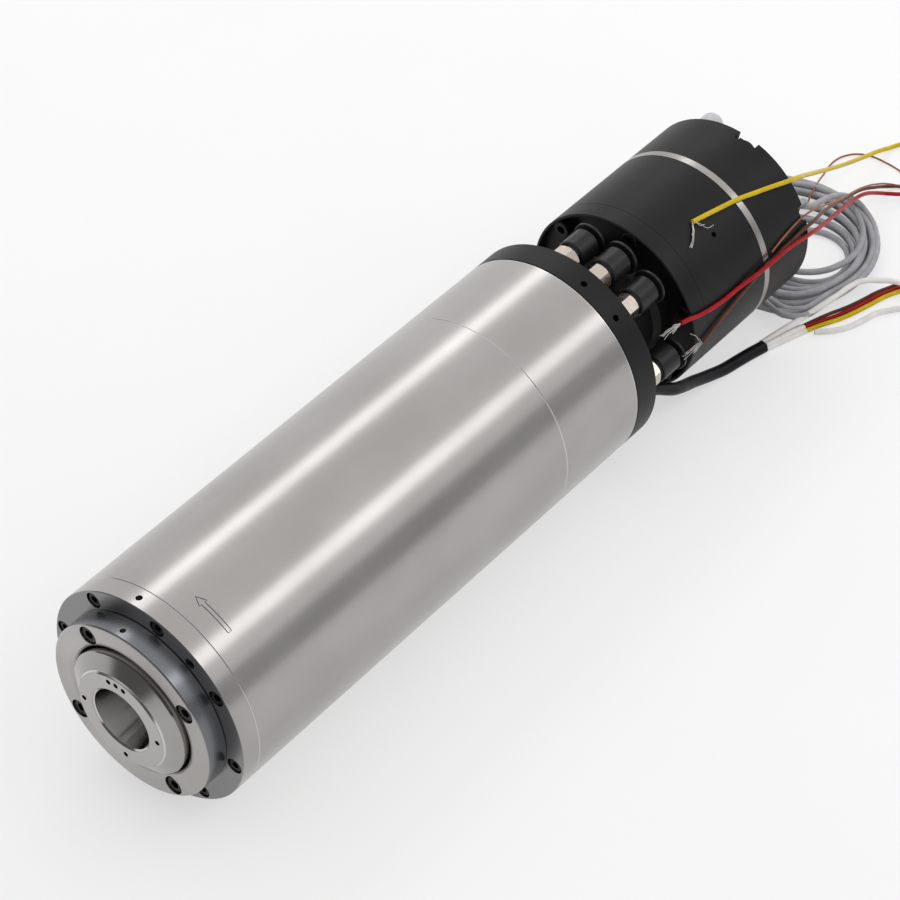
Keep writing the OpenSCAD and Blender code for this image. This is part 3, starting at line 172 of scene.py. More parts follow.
# White core
# The protective core, in a woven white sleeve. It comes out of the jacket, lies on the coil, turns
# back in one loop and ends cut off on the bench.
WHITE_D = 0.003
white_route = [
    (0.398, -0.0439, -0.0506), (0.406, -0.0455, -0.0501), (0.414, -0.0473, -0.0496),
    (0.421, -0.0492, -0.0487), (0.428, -0.0513, -0.0474), (0.435, -0.0536, -0.046),
    (0.442, -0.0553, -0.0452), (0.45, -0.0564, -0.0451), (0.458, -0.0574, -0.0451),
    (0.465, -0.06, -0.0452), (0.4715, -0.0655, -0.0462), (0.477, -0.071, -0.0476),
    (0.4805, -0.0775, -0.05), (0.478, -0.083, -0.0524), (0.4715, -0.084, -0.0534),
    (0.4645, -0.0795, -0.05345), (0.457, -0.0748, -0.05345), (0.448, -0.0724, -0.05345),
    (0.44, -0.0699, -0.05345), (0.4335, -0.0663, -0.05345), (0.4285, -0.062, -0.05345),
    (0.425, -0.0583, -0.05345),
]

white_sleeve = insulation("white_insulation", (0.76, 0.735, 0.715), (0.85, 0.83, 0.81), 0.6)
white_lead = lay_cord("white_core", white_route, WHITE_D)
white_lead.data.materials.append(white_sleeve)
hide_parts("white_lead")
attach(white_lead, "root")


# Yellow core
# One phase of the motor, in yellow plastic. It runs out of the view, turns back over the rear
# cover and ends stripped over the barrel.
YELLOW_D = 0.0024
WIRE_D = 0.0003
GOLDEN_STEP = 0.382
SLEEVED_POINTS = 4
yellow_route = [
    (0.398, -0.0473, -0.0526), (0.406, -0.0492, -0.0532), (0.414, -0.0514, -0.05375),
    (0.423, -0.0542, -0.05375), (0.432, -0.0579, -0.05375), (0.4415, -0.0624, -0.05375),
    (0.45, -0.0654, -0.05375), (0.46, -0.0681, -0.05375), (0.471, -0.071, -0.05375),
    (0.482, -0.0757, -0.05375), (0.494, -0.0799, -0.05375), (0.508, -0.082, -0.05375),
    (0.523, -0.081, -0.05375), (0.538, -0.077, -0.05375), (0.553, -0.0695, -0.05375),
    (0.566, -0.059, -0.05375), (0.577, -0.046, -0.05375), (0.5845, -0.032, -0.05375),
    (0.587, -0.019, -0.05375), (0.584, -0.011, -0.05375), (0.5784, -0.0073, -0.05375),
    (0.5726, -0.005, -0.0534), (0.5625, -0.0042, -0.0498), (0.548, -0.005, -0.0439),
    (0.529, -0.0078, -0.0342), (0.505, -0.0129, -0.0199), (0.48, -0.0193, -0.0033),
    (0.46, -0.0258, 0.0111), (0.441, -0.0325, 0.0253), (0.4266, -0.0368, 0.035),
    (0.419, -0.0357, 0.0367), (0.41, -0.0335, 0.0383), (0.4, -0.0311, 0.0398),
    (0.39, -0.0287, 0.0413), (0.378, -0.0267, 0.0426), (0.368, -0.0251, 0.0436),
    (0.3585, -0.0236, 0.0444),
]


def fray(name, spread, guides, count):
    """Bare wires that leave a lead's end together and part along the guide points. Each wire leans
    its own way by a fixed step of a turn, is up to 60% shorter than the longest, and waves."""
    line = bpy.data.curves.new(name, "CURVE")
    line.dimensions = "3D"
    line.bevel_depth = WIRE_D / 2
    line.bevel_resolution = 1
    line.resolution_u = 3
    start = Vector(guides[0])
    for wire in range(count):
        turn = wire * math.tau * GOLDEN_STEP
        aside = Vector((math.sin(turn * 1.7), math.cos(turn), math.sin(turn)))
        reach = 0.7 + 0.3 * math.cos(wire * 2.1)
        spline = line.splines.new("BEZIER")
        spline.bezier_points.add(len(guides) - 1)
        for step, (point, place) in enumerate(zip(spline.bezier_points, guides)):
            along = step / (len(guides) - 1)
            wave = math.sin(wire * 1.3 + step * 2.4) * 0.35
            lean = aside * spread * (along + wave * along)
            point.co = start + (Vector(place) - start) * reach + lean
            point.handle_left_type = point.handle_right_type = "AUTO"
    wires = bpy.data.objects.new(name, line)
    bpy.context.collection.objects.link(wires)
    return wires


def short_sleeve(name, route, points, diameter, lift):
    """White woven sleeve over the first points of a core's route, from the jacket on."""
    inside = [Vector(place) + Vector((0, 0, lift)) for place in route[:points]]
    sleeve = lay_cord(name, inside, diameter)
    sleeve.data.materials.append(white_sleeve)
    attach(sleeve, "root")
    return sleeve


yellow_plastic = insulation("yellow_insulation", (0.56, 0.40, 0.004), (0.68, 0.50, 0.008), 0.35)
yellow_sleeve = short_sleeve("yellow_core_sleeve", yellow_route, SLEEVED_POINTS, 0.0029, 0.00024)
yellow_lead = lay_cord("yellow_core", yellow_route, YELLOW_D)
yellow_lead.data.materials.append(yellow_plastic)
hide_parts("yellow_lead")
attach(yellow_lead, "root")

tinned_copper, tinned_shader = open_finish("tinned_copper", (0.62, 0.60, 0.57), 0.35, 1.0)
vary_colour(tinned_copper, tinned_shader, grain(tinned_copper, (600, 600, 600)),
    (0.45, 0.42, 0.38), (0.70, 0.68, 0.66))
yellow_wires = fray("yellow_core_wires", spread=0.0012, count=9, guides=[
    yellow_route[-1],
    (0.3563, -0.0258, 0.0431), (0.3531, -0.0288, 0.0411), (0.3477, -0.0318, 0.0390),
])
yellow_stray = fray("yellow_core_stray_wires", spread=0.0005, count=2, guides=[
    yellow_route[-1],
    (0.3613, -0.0262, 0.0431), (0.3627, -0.0295, 0.0410), (0.3675, -0.0306, 0.0402),
])
for wires in (yellow_wires, yellow_stray):
    wires.data.materials.append(tinned_copper)
    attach(wires, "root")


# Brown core
# The second phase, in brown plastic. It turns back just past the view and comes to rest along the
# side of the cylinder, its end stripped.
BROWN_D = 0.0019
brown_route = [
    (0.398, -0.045, -0.05355), (0.407, -0.0464, -0.054), (0.416, -0.0483, -0.054),
    (0.424, -0.0503, -0.054), (0.433, -0.053, -0.054), (0.442, -0.0561, -0.054),
    (0.451, -0.0598, -0.054), (0.461, -0.0629, -0.054), (0.471, -0.0655, -0.054),
    (0.481, -0.0695, -0.054), (0.491, -0.073, -0.054), (0.503, -0.0748, -0.054),
    (0.517, -0.0734, -0.054), (0.53, -0.0682, -0.054), (0.541, -0.06, -0.054),
    (0.549, -0.0495, -0.054), (0.5525, -0.038, -0.054), (0.5524, -0.0339, -0.054),
    (0.5498, -0.0273, -0.054), (0.5449, -0.0229, -0.0532), (0.5315, -0.022, -0.0458),
    (0.518, -0.0227, -0.0382), (0.503, -0.0254, -0.0304), (0.482, -0.0315, -0.0178),
    (0.462, -0.0382, -0.0046), (0.443, -0.044, 0.0056), (0.427, -0.0486, 0.0125),
    (0.418, -0.0486, 0.0129), (0.408, -0.0487, 0.0122), (0.3997, -0.0488, 0.0116),
    (0.3826, -0.0491, 0.0104), (0.37, -0.0495, 0.0082), (0.361, -0.0498, 0.0063),
    (0.349, -0.0501, 0.0031), (0.341, -0.0502, 0.0009), (0.335, -0.0502, -0.0015),
]

brown_plastic = insulation("brown_insulation", (0.085, 0.031, 0.018), (0.13, 0.050, 0.030), 0.35)
brown_sleeve = short_sleeve("brown_core_sleeve", brown_route, SLEEVED_POINTS, 0.0026, 0.00033)
brown_lead = lay_cord("brown_core", brown_route, BROWN_D)
brown_lead.data.materials.append(brown_plastic)
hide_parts("brown_lead")
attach(brown_lead, "root")
brown_wires = fray("brown_core_wires", spread=0.0016, count=10, guides=[
    brown_route[-1],
    (0.3295, -0.0506, 0.0004), (0.3238, -0.0508, 0.0001), (0.3173, -0.0510, 0.0012),
])
brown_stray = fray("brown_core_stray_wires", spread=0.0006, count=2, guides=[
    brown_route[-1],
    (0.3305, -0.0507, 0.0030), (0.3294, -0.0506, 0.0058), (0.3246, -0.0500, 0.0108),
])
for wires in (brown_wires, brown_stray):
    wires.data.materials.append(tinned_copper)
    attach(wires, "root")


# Red core
# The third phase, in red plastic. It crosses over the brown one behind the rear cover and ends
# stripped above the tube fittings.
RED_D = 0.0022
red_route = [
    (0.398, -0.0467, -0.0502), (0.406, -0.0483, -0.0509), (0.415, -0.0501, -0.0517),
    (0.424, -0.0522, -0.0529), (0.433, -0.0554, -0.05385), (0.442, -0.0594, -0.05385),
    (0.451, -0.0626, -0.05385), (0.461, -0.0654, -0.05385), (0.471, -0.0681, -0.05385),
    (0.481, -0.0723, -0.05385), (0.491, -0.0759, -0.05385), (0.503, -0.0777, -0.05385),
    (0.516, -0.0766, -0.0536), (0.528, -0.0724, -0.0524), (0.539, -0.066, -0.051),
    (0.5465, -0.0575, -0.0506), (0.5493, -0.048, -0.0506), (0.5475, -0.04, -0.0508),
    (0.5426, -0.0346, -0.051), (0.5365, -0.0287, -0.0498), (0.5255, -0.027, -0.0431),
    (0.511, -0.0282, -0.0339), (0.497, -0.0301, -0.0278), (0.48, -0.0349, -0.0192),
    (0.46, -0.0405, -0.0096), (0.442, -0.0458, -0.0005), (0.427, -0.0494, 0.0066),
    (0.417, -0.0504, 0.0096), (0.407, -0.0508, 0.012), (0.398, -0.0511, 0.0132),
    (0.388, -0.0508, 0.0129), (0.376, -0.0498, 0.0125), (0.366, -0.0489, 0.0122),
    (0.35, -0.0487, 0.0129), (0.334, -0.0479, 0.0154), (0.326, -0.0471, 0.0177),
    (0.3205, -0.0466, 0.0189),
]

red_plastic = insulation("red_insulation", (0.30, 0.003, 0.007), (0.42, 0.006, 0.012), 0.3)
red_sleeve = short_sleeve("red_core_sleeve", red_route, SLEEVED_POINTS, 0.0028, 0)
red_lead = lay_cord("red_core", red_route, RED_D)
red_lead.data.materials.append(red_plastic)
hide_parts("red_lead")
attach(red_lead, "root")
red_wires = fray("red_core_wires", spread=0.0016, count=12, guides=[
    red_route[-1],
    (0.3156, -0.0466, 0.0196), (0.3111, -0.0464, 0.0198), (0.3062, -0.0465, 0.0194),
])
red_wires.data.materials.append(tinned_copper)
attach(red_wires, "root")


# Sensor cable
# One thin grey cable: out of its gland in the rear lid, down to the bench, and wound there into a
# loose coil of three layers with a few turns across them. Its jacket is soft grey plastic.
SENSOR_D = 0.0034
sensor_route = [
    (0.43, -0.0371, 0.0154), (0.436, -0.037, 0.0144), (0.443, -0.0339, 0.0057),
    (0.451, -0.0322, -0.001), (0.4595, -0.0298, -0.0068), (0.469, -0.0272, -0.0125),
    (0.48, -0.0246, -0.0188), (0.4915, -0.0221, -0.0259), (0.5025, -0.0201, -0.0337),
    (0.5105, -0.0201, -0.0401), (0.5143, -0.023, -0.0444), (0.5149, -0.0271, -0.0475),
]
coil_centre = Vector((0.4675, -0.005, 0))
hole_centre = Vector((0.471, -0.023, 0))
OUTER_TURN = 0.0495
INNER_TURN = 0.0202
bench_height = -0.055
NESTED_SHARE = 0.86
low_layer = bench_height + SENSOR_D / 2
middle_layer = low_layer + SENSOR_D * NESTED_SHARE
top_layer = middle_layer + SENSOR_D * NESTED_SHARE
cross_layer = top_layer + SENSOR_D * 0.5
STEPS_PER_TURN = 16
SWAY = 0.0005
LEAD_SIDE = math.radians(-145)
LEAD_SIDE_REACH = math.radians(22)
LEAD_SIDE_BULGE = 0.012
COVER_SIDE = math.radians(175)
COVER_SIDE_REACH = math.radians(34)
CLEAR_OF_COVER = 0.0395

# Each leg of the coil is its turns, and the radius and height at which it ends
coil_legs = [
    (1.25, 0.0475, top_layer),
    (0.30, 0.0495, low_layer),
    (3.20, 0.0210, low_layer),
    (0.60, 0.0202, low_layer),
    (0.25, 0.0225, middle_layer),
    (2.40, 0.0462, middle_layer),
    (0.25, 0.0480, top_layer),
    (1.60, 0.0310, top_layer),
    (1.108, 0.0460, cross_layer),
    (0.25, 0.0202, cross_layer),
    (0.652, 0.0318, -0.0466),
]


def nearness(angle, centre, reach, sharpness):
    """1 at the centre angle, falling to nothing beyond the reach; the angles in radians."""
    off = (angle - centre + math.pi) % math.tau - math.pi
    return math.exp(-abs(off / reach) ** sharpness)


def wind_coil(start):
    """Points of the coil, leg by leg, from the place where the cable reaches it. The turns lie
    close together on the side of the hole and further apart across from it. They bulge towards
    the leads, and the upper ones keep clear of the rear cover."""
    points = []
    entry = start - coil_centre
    radius = entry.xy.length
    height = start.z
    angle = math.atan2(entry.y, entry.x)
    for turns, end_radius, end_height in coil_legs:
        steps = max(4, round(turns * STEPS_PER_TURN))
        for step in range(1, steps + 1):
            share = step / steps
            ease = share * share * (3 - 2 * share)
            around = angle - math.tau * turns * share
            r = radius + (end_radius - radius) * (share if turns > 1 else ease)
            z = height + (end_height - height) * ease
            width = min(1, max(0, (r - INNER_TURN) / (OUTER_TURN - INNER_TURN)))
            middle = hole_centre.lerp(coil_centre, width)
            bulge = LEAD_SIDE_BULGE * width ** 1.5
            r += bulge * nearness(around, LEAD_SIDE, LEAD_SIDE_REACH, 2)
            lift = min(1, max(0, (z - middle_layer) / SENSOR_D))
            dent = max(0, r - CLEAR_OF_COVER) * lift
            r -= dent * nearness(around, COVER_SIDE, COVER_SIDE_REACH, 4)
            sway = SWAY * math.sin(2.3 * around) if z > low_layer else 0
            points.append((
                middle.x + (r + sway) * math.cos(around),
                middle.y + (r + sway) * math.sin(around),
                z,
            ))
        angle -= math.tau * turns
        radius = end_radius
        height = end_height
    return points


sensor_path = sensor_route + wind_coil(Vector(sensor_route[-1]))

grey_jacket = insulation("grey_jacket", (0.33, 0.33, 0.35), (0.42, 0.42, 0.44), 0.45)
sensor_cable = lay_cord("grey_sensor_cable", sensor_path, SENSOR_D)
sensor_cable.data.materials.append(grey_jacket)
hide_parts("sensor_cable", "sensor_coil")
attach(sensor_cable, "root")


# Sensor core
# A single thin core that comes out of the grey cable's end, swings past the edge of the view and
# ends on the side of the rear cover.
CORE_D = 0.001
core_route = [
    (0.4983, -0.0022, -0.0455), (0.5036, -0.0007, -0.0442), (0.5113, 0.0018, -0.045),
    (0.5217, 0.0059, -0.049), (0.531, 0.0093, -0.053), (0.5396, 0.0117, -0.0544),
    (0.5478, 0.0119, -0.0544), (0.5543, 0.0095, -0.0544), (0.5588, 0.0054, -0.0544),
    (0.5616, -0.0009, -0.0544), (0.5621, -0.0096, -0.0544), (0.5611, -0.0192, -0.0544),
    (0.5583, -0.0275, -0.0542), (0.5521, -0.0319, -0.0518), (0.5457, -0.0307, -0.0494),
    (0.5403, -0.0264, -0.0468), (0.5265, -0.0258, -0.0384), (0.51, -0.0283, -0.0284),
    (0.4935, -0.0321, -0.0188), (0.476, -0.0371, -0.0086), (0.46, -0.0412, 0.0011),
    (0.444, -0.0443, 0.0103), (0.43, -0.0463, 0.0173), (0.421, -0.0462, 0.0183),
    (0.411, -0.0466, 0.0177), (0.4015, -0.0471, 0.0163), (0.394, -0.0476, 0.0149),
]

core_plastic = insulation("core_insulation", (0.24, 0.085, 0.052), (0.34, 0.13, 0.08), 0.4)
sensor_core = lay_cord("thin_sensor_core", core_route, CORE_D)
sensor_core.data.materials.append(core_plastic)
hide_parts("sensor_core")
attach(sensor_core, "root")


# Steel body
# Front disc, main sleeve and rear housing are turned, hardened and ground together on the outside,
# so that one clamp holds all three. The grinding marks run round the axis.
BODY_DARK = (0.375, 0.36, 0.35)
BODY_LIGHT = (0.425, 0.41, 0.40)
BODY_ROUGHNESS = 0.25
BODY_MARKS = 6000
LINE_DEPTH = 0.0000001
# Painted highlights: the spans along X and the tones of the bright edge lines
FLANGE_EDGE_HIGHLIGHT = (0.2758, 0.3000)
DISC_SEAM_HIGHLIGHT = (0.0098, 0.0104)
REAR_SEAM_HIGHLIGHT = (0.2221, 0.2229)
EDGE_HIGHLIGHT_TONE = (0.80, 0.79, 0.78)
SEAM_HIGHLIGHT_TONE = (0.56, 0.55, 0.54)
SHARP = 0.0001


def ground_round(name, dark, light, roughness, marks):
    """Metal cut or ground round the X axis: fine lines round it, so many per metre, and soft
    blotches of handling."""
    finish, shader = open_finish(name, light, roughness, 1.0)
    blotches = grain(finish, (16, 26, 26), 4)
    vary_colour(finish, shader, blotches, dark, light)
    lines = grain(finish, (marks, 4, 4), 2)
    vary_roughness(finish, shader, lines, roughness - 0.012, roughness + 0.015)
    emboss(finish, shader, lines, LINE_DEPTH)
    shader.inputs["Anisotropic"].default_value = 0.5
    shader.inputs["Anisotropic Rotation"].default_value = 0.25
    around = finish.node_tree.nodes.new("ShaderNodeTangent")
    around.direction_type = "RADIAL"
    around.axis = "X"
    finish.node_tree.links.new(around.outputs["Tangent"], shader.inputs["Tangent"])
    return finish


def wear(finish, *names):
    """Puts the finish on every material slot of the named CAD nodes."""
    for name in names:
        for material_slot in nodes[name].material_slots:
            material_slot.material = finish


def paint_light_and_shade_band(finish, measure, start, end, tone, feather):
    """Painted light and shade: a tone between two limits of a length in metres, over the colour
    already there.
    """
    tree = finish.node_tree
    base_colour = tree.nodes["Principled BSDF"].inputs["Base Color"]
    both = tree.nodes.new("ShaderNodeMath")
    both.operation = "MULTIPLY"
    for factor, limit, (outside, inside) in zip(both.inputs, (start, end), ((0, 1), (1, 0))):
        step = tree.nodes.new("ShaderNodeMapRange")
        step.interpolation_type = "SMOOTHSTEP"
        step.inputs["From Min"].default_value = limit - feather
        step.inputs["From Max"].default_value = limit + feather
        step.inputs["To Min"].default_value = outside
        step.inputs["To Max"].default_value = inside
        tree.links.new(measure, step.inputs["Value"])
        tree.links.new(step.outputs["Result"], factor)
    mix = tree.nodes.new("ShaderNodeMix")
    mix.data_type = "RGBA"
    # Of this node's sockets, 6 and 7 are the colours A and B, and output 2 is the mixed colour
    mix.inputs[7].default_value = (*tone, 1)
    tree.links.new(both.outputs[0], mix.inputs[0])
    tree.links.new(base_colour.links[0].from_socket, mix.inputs[6])
    tree.links.new(mix.outputs[2], base_colour)


def place_along(finish):
    """The place along the X axis, in metres."""
    tree = finish.node_tree
    place = tree.nodes.new("ShaderNodeTexCoord")
    split = tree.nodes.new("ShaderNodeSeparateXYZ")
    tree.links.new(place.outputs["Object"], split.inputs["Vector"])
    return split.outputs["X"]


def radius_from_axis(finish):
    """The distance from the X axis, in metres."""
    tree = finish.node_tree
    place = tree.nodes.new("ShaderNodeTexCoord")
    flat = tree.nodes.new("ShaderNodeMapping")
    flat.inputs["Scale"].default_value = (0, 1, 1)
    reach = tree.nodes.new("ShaderNodeVectorMath")
    reach.operation = "LENGTH"
    tree.links.new(place.outputs["Object"], flat.inputs["Vector"])
    tree.links.new(flat.outputs["Vector"], reach.inputs[0])
    return reach.outputs["Value"]


# Painted highlights: bright lines where edges were broken, at the flange, and at the seams in front
# of the sleeve and behind it
ground_steel = ground_round("ground_steel", BODY_DARK, BODY_LIGHT, BODY_ROUGHNESS, BODY_MARKS)
body_x = place_along(ground_steel)
paint_light_and_shade_band(ground_steel, body_x, *FLANGE_EDGE_HIGHLIGHT, EDGE_HIGHLIGHT_TONE, SHARP)
paint_light_and_shade_band(ground_steel, body_x, *DISC_SEAM_HIGHLIGHT, SEAM_HIGHLIGHT_TONE, SHARP)
paint_light_and_shade_band(ground_steel, body_x, *REAR_SEAM_HIGHLIGHT, SEAM_HIGHLIGHT_TONE, SHARP)
wear(ground_steel, "main_sleeve", "rear_housing")

# The front face isn't ground, and it is painted darker: painted shade for the dark reflections on
# it
shaded_disc_steel = ground_round("shaded_disc_steel", BODY_DARK, BODY_LIGHT, BODY_ROUGHNESS, BODY_MARKS)
paint_light_and_shade_band(shaded_disc_steel, place_along(shaded_disc_steel), -0.001, 0.0001, (0.24, 0.235, 0.235), 0.00008)
wear(shaded_disc_steel, "front_housing")


# Rotation arrow
# The way the spindle turns is etched into the sleeve behind the front disc, as the outline of an
# arrow that follows the surface.
SLEEVE_R = 0.055
ARROW_LINE_D = 0.00036
ARROW_HEAD_L = 0.0045
ARROW_HEAD_W = 0.0046
ARROW_SHAFT_W = 0.002
ARROW_STEP = 0.0012
arrow_tail = Vector((0.0209, SLEEVE_R * math.radians(124.5)))
arrow_tip = Vector((0.0211, SLEEVE_R * math.radians(102.6)))
arrow_length = (arrow_tip - arrow_tail).length
arrow_way = (arrow_tip - arrow_tail) / arrow_length
arrow_side = Vector((-arrow_way.y, arrow_way.x))
arrow_neck = arrow_length - ARROW_HEAD_L
arrow_corners = [
    (0, -ARROW_SHAFT_W / 2), (arrow_neck, -ARROW_SHAFT_W / 2), (arrow_neck, -ARROW_HEAD_W / 2),
    (arrow_length, 0),
    (arrow_neck, ARROW_HEAD_W / 2), (arrow_neck, ARROW_SHAFT_W / 2), (0, ARROW_SHAFT_W / 2),
]
arrow_line = bpy.data.curves.new("rotation_arrow", "CURVE")
arrow_line.dimensions = "3D"
arrow_line.bevel_depth = ARROW_LINE_D / 2
arrow_line.bevel_resolution = 1
arrow_places = []
arrow_sides = zip(arrow_corners, arrow_corners[1:] + arrow_corners[:1])
for (along, aside), (next_along, next_aside) in arrow_sides:
    steps = max(1, round(abs(next_along - along) / ARROW_STEP))
    for step in range(steps):
        share = step / steps
        spot = arrow_tail + arrow_way * (along + (next_along - along) * share)
        spot += arrow_side * (aside + (next_aside - aside) * share)
        turn = spot.y / SLEEVE_R
        arrow_places.append((spot.x, SLEEVE_R * math.cos(turn), SLEEVE_R * math.sin(turn)))
arrow_outline = arrow_line.splines.new("POLY")
arrow_outline.points.add(len(arrow_places) - 1)
for point, place in zip(arrow_outline.points, arrow_places):
    point.co = (*place, 1)
arrow_outline.use_cyclic_u = True
rotation_arrow = bpy.data.objects.new("rotation_arrow", arrow_line)
bpy.context.collection.objects.link(rotation_arrow)
etched, etched_shader = open_finish("etched_steel", (0.09, 0.085, 0.08), 0.55, 1.0)
vary_colour(etched, etched_shader, grain(etched, (900, 900, 900)),
    (0.075, 0.07, 0.068), (0.11, 0.105, 0.10))
rotation_arrow.data.materials.append(etched)
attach(rotation_arrow, "root")


# Front cover
# A turned ring over the first bearing. Its face is left as it came from the lathe, so the light
# fans out on it. Its outer side has a painted dark reflection, and painted shade marks the gap at
# the disc.
OUTER_SIDE_REFLECTION = (0.0450, 0.0460)
GAP_SHADE_LINE = (-0.00035, 0.004)
turned_steel = ground_round("turned_steel", (0.40, 0.385, 0.37), (0.46, 0.445, 0.43), 0.27, 2500)
# Painted dark reflection on the outer side of the ring
paint_light_and_shade_band(turned_steel, radius_from_axis(turned_steel), *OUTER_SIDE_REFLECTION, (0.19, 0.195, 0.21), 0.00006)
# Painted shade: a near-black line at the back of the ring, in the gap at the front disc
paint_light_and_shade_band(turned_steel, place_along(turned_steel), *GAP_SHADE_LINE, (0.012, 0.012, 0.013), 0.00008)
wear(turned_steel, "front_cover")
spacer_steel = ground_round("spacer_steel", (0.40, 0.385, 0.37), (0.47, 0.455, 0.44), 0.28, 1400)
wear(spacer_steel, "outer_spacer", "inner_spacer")


# Spindle shaft
# The nose is hard-turned: a flat face round the bore, a polished cone outside it that looks dark,
# and the tool taper ground in its middle. The face and its rim carry painted highlights, and the
# taper carries painted light in place of light inside the bore.
TAPER_PAINTED_LIGHT = (-0.01, 0.0165)
FACE_PAINTED_HIGHLIGHT = (0.0170, 0.0246)
RIM_PAINTED_HIGHLIGHT = (0.0248, 0.0254)
dark_steel = ground_round("dark_steel", (0.28, 0.27, 0.26), (0.34, 0.33, 0.315), 0.16, 1800)
wear(dark_steel, "drawbar", "petal_1", "petal_2", "petal_3", "petal_4", "piston_rod")

nose_steel = ground_round("nose_steel", (0.34, 0.33, 0.315), (0.40, 0.39, 0.375), 0.14, 1800)
nose_radius = radius_from_axis(nose_steel)
# Painted light in the bore, and painted highlights on the flat face and its rim
paint_light_and_shade_band(nose_steel, nose_radius, *TAPER_PAINTED_LIGHT, (0.55, 0.545, 0.54), 0.0002)
paint_light_and_shade_band(nose_steel, nose_radius, *FACE_PAINTED_HIGHLIGHT, (0.44, 0.425, 0.41), 0.0002)
paint_light_and_shade_band(nose_steel, nose_radius, *RIM_PAINTED_HIGHLIGHT, (0.60, 0.59, 0.58), 0.0001)
wear(nose_steel, "spindle_shaft")


# Screws
# Socket head screws of alloy steel, blackened and a little oily.
blackened, blackened_shader = open_finish("blackened_screw", (0.02, 0.02, 0.022), 0.36, 0.85)
rub = grain(blackened, (700, 700, 700))
vary_colour(blackened, blackened_shader, rub, (0.008, 0.008, 0.009), (0.022, 0.022, 0.024))
vary_roughness(blackened, blackened_shader, rub, 0.28, 0.46)
wear(blackened, "cover_screws", "housing_screws", "flange_screws", "cap_screws", "rear_screws",
    "outer_ring_nut", "shaft_nuts", "sensor_ring")


# Black housings
# Rear flange, neck, cylinder cap, barrel and rear cover are turned from aluminium, blasted lightly
# and anodised black.
black_anodised, anodised_shader = open_finish("black_anodised", (0.009, 0.009, 0.010), 0.42)
cloud = grain(black_anodised, (30, 30, 30), 4)
vary_colour(black_anodised, anodised_shader, cloud,
    (0.0070, 0.0068, 0.0074), (0.0110, 0.0107, 0.0115))
anodised_shader.inputs["Specular IOR Level"].default_value = 0.18
blast = grain(black_anodised, (2600, 2600, 2600), 2)
vary_roughness(black_anodised, anodised_shader, blast, 0.36, 0.5)
emboss(black_anodised, anodised_shader, blast, 0.00001)
wear(black_anodised, "rear_flange", "release_neck", "front_cap", "cylinder_barrel", "rear_cover",
    "rear_lid")


# Tube fittings
# Four push-in fittings: a nickel-plated brass hexagon with a moulded black body and a release ring
# that is pressed in to free the tube. A plug closes the fifth place.
nickel, nickel_shader = open_finish("nickel", (0.58, 0.50, 0.44), 0.2, 1.0)
vary_roughness(nickel, nickel_shader, grain(nickel, (400, 400, 400)), 0.14, 0.3)
wear(nickel, "port_hexes")

black_plastic, plastic_shader = open_finish("black_plastic", (0.010, 0.010, 0.011), 0.36)
spark = grain(black_plastic, (1500, 1500, 1500), 2)
vary_colour(black_plastic, plastic_shader, grain(black_plastic, (60, 60, 60)),
    (0.008, 0.008, 0.009), (0.013, 0.013, 0.014))
plastic_shader.inputs["Specular IOR Level"].default_value = 0.3
vary_roughness(black_plastic, plastic_shader, spark, 0.3, 0.44)
emboss(black_plastic, plastic_shader, spark, 0.000015)
wear(black_plastic, "port_bodies", "blanking_plug", "cable_gland", "speed_sensor", "air_elbow",
    "sensor_gland", "ring_1", "ring_2", "ring_3", "ring_4")


# Plain aluminium
# End plate and pistons are turned from bar and left bare.
plain_aluminium = ground_round("plain_aluminium",
    (0.32, 0.30, 0.285), (0.39, 0.37, 0.355), 0.3, 1500)
wear(plain_aluminium, "end_plate", "cylinder_partition", "pistons")


# Silencer
# The exhaust of the cylinder goes through a moulded grey silencer on the rear lid.
grey_plastic, grey_shader = open_finish("grey_plastic", (0.56, 0.58, 0.6), 0.5)
vary_colour(grey_plastic, grey_shader, grain(grey_plastic, (300, 300, 300)),
    (0.48, 0.50, 0.52), (0.60, 0.62, 0.64))
wear(grey_plastic, "silencer")


# Inner pieces
# Motor, bearings, springs, bushes and seals, which show only when the spindle is taken apart.
copper, copper_shader = open_finish("copper", (0.62, 0.27, 0.13), 0.3, 1.0)
vary_colour(copper, copper_shader, grain(copper, (400, 60, 60)),
    (0.45, 0.17, 0.08), (0.66, 0.3, 0.15))
wear(copper, "stator_windings")

lamination, lamination_shader = open_finish("lamination", (0.2, 0.2, 0.21), 0.4, 1.0)
emboss(lamination, lamination_shader, grain(lamination, (3000, 3, 3)), 0.00002)
wear(lamination, "stator_core", "rotor_core")

jacket_aluminium = ground_round("jacket_aluminium", (0.42, 0.38, 0.3), (0.5, 0.45, 0.36), 0.35, 900)
wear(jacket_aluminium, "cooling_jacket")

bearing_steel = ground_round("bearing_steel", (0.46, 0.45, 0.44), (0.56, 0.55, 0.54), 0.15, 2200)
wear(bearing_steel, "outer_rings", "inner_rings", "bearing_balls")

spring_steel = ground_round("spring_steel", (0.16, 0.14, 0.11), (0.24, 0.21, 0.17), 0.3, 1500)
wear(spring_steel, "disc_springs")

bronze = ground_round("bronze", (0.42, 0.27, 0.1), (0.52, 0.35, 0.14), 0.3, 1200)
wear(bronze, "rod_bushes")

seal_rubber, seal_shader = open_finish("seal_rubber", (0.015, 0.015, 0.016), 0.6)
vary_roughness(seal_rubber, seal_shader, grain(seal_rubber, (500, 500, 500)), 0.52, 0.7)
wear(seal_rubber, "piston_seals")


# Studio
# A pale paper floor under the part, a white surrounding that metal mirrors, two long soft strips
# whose reflections run along the body, a low grey card behind the camera that darkens its side and
# a dark card beyond the nose, which its cone mirrors. The camera doesn't see the cards.
FLOOR_SIZE = 6
FLOOR_GAP = 0.0002
PAPER_GLOW = 0.55
STRIP_DISTANCE = 1.5
STRIP_LENGTH = 2.2
STRIP_WIDTH = 0.3
FILL_STRENGTH = 0.85


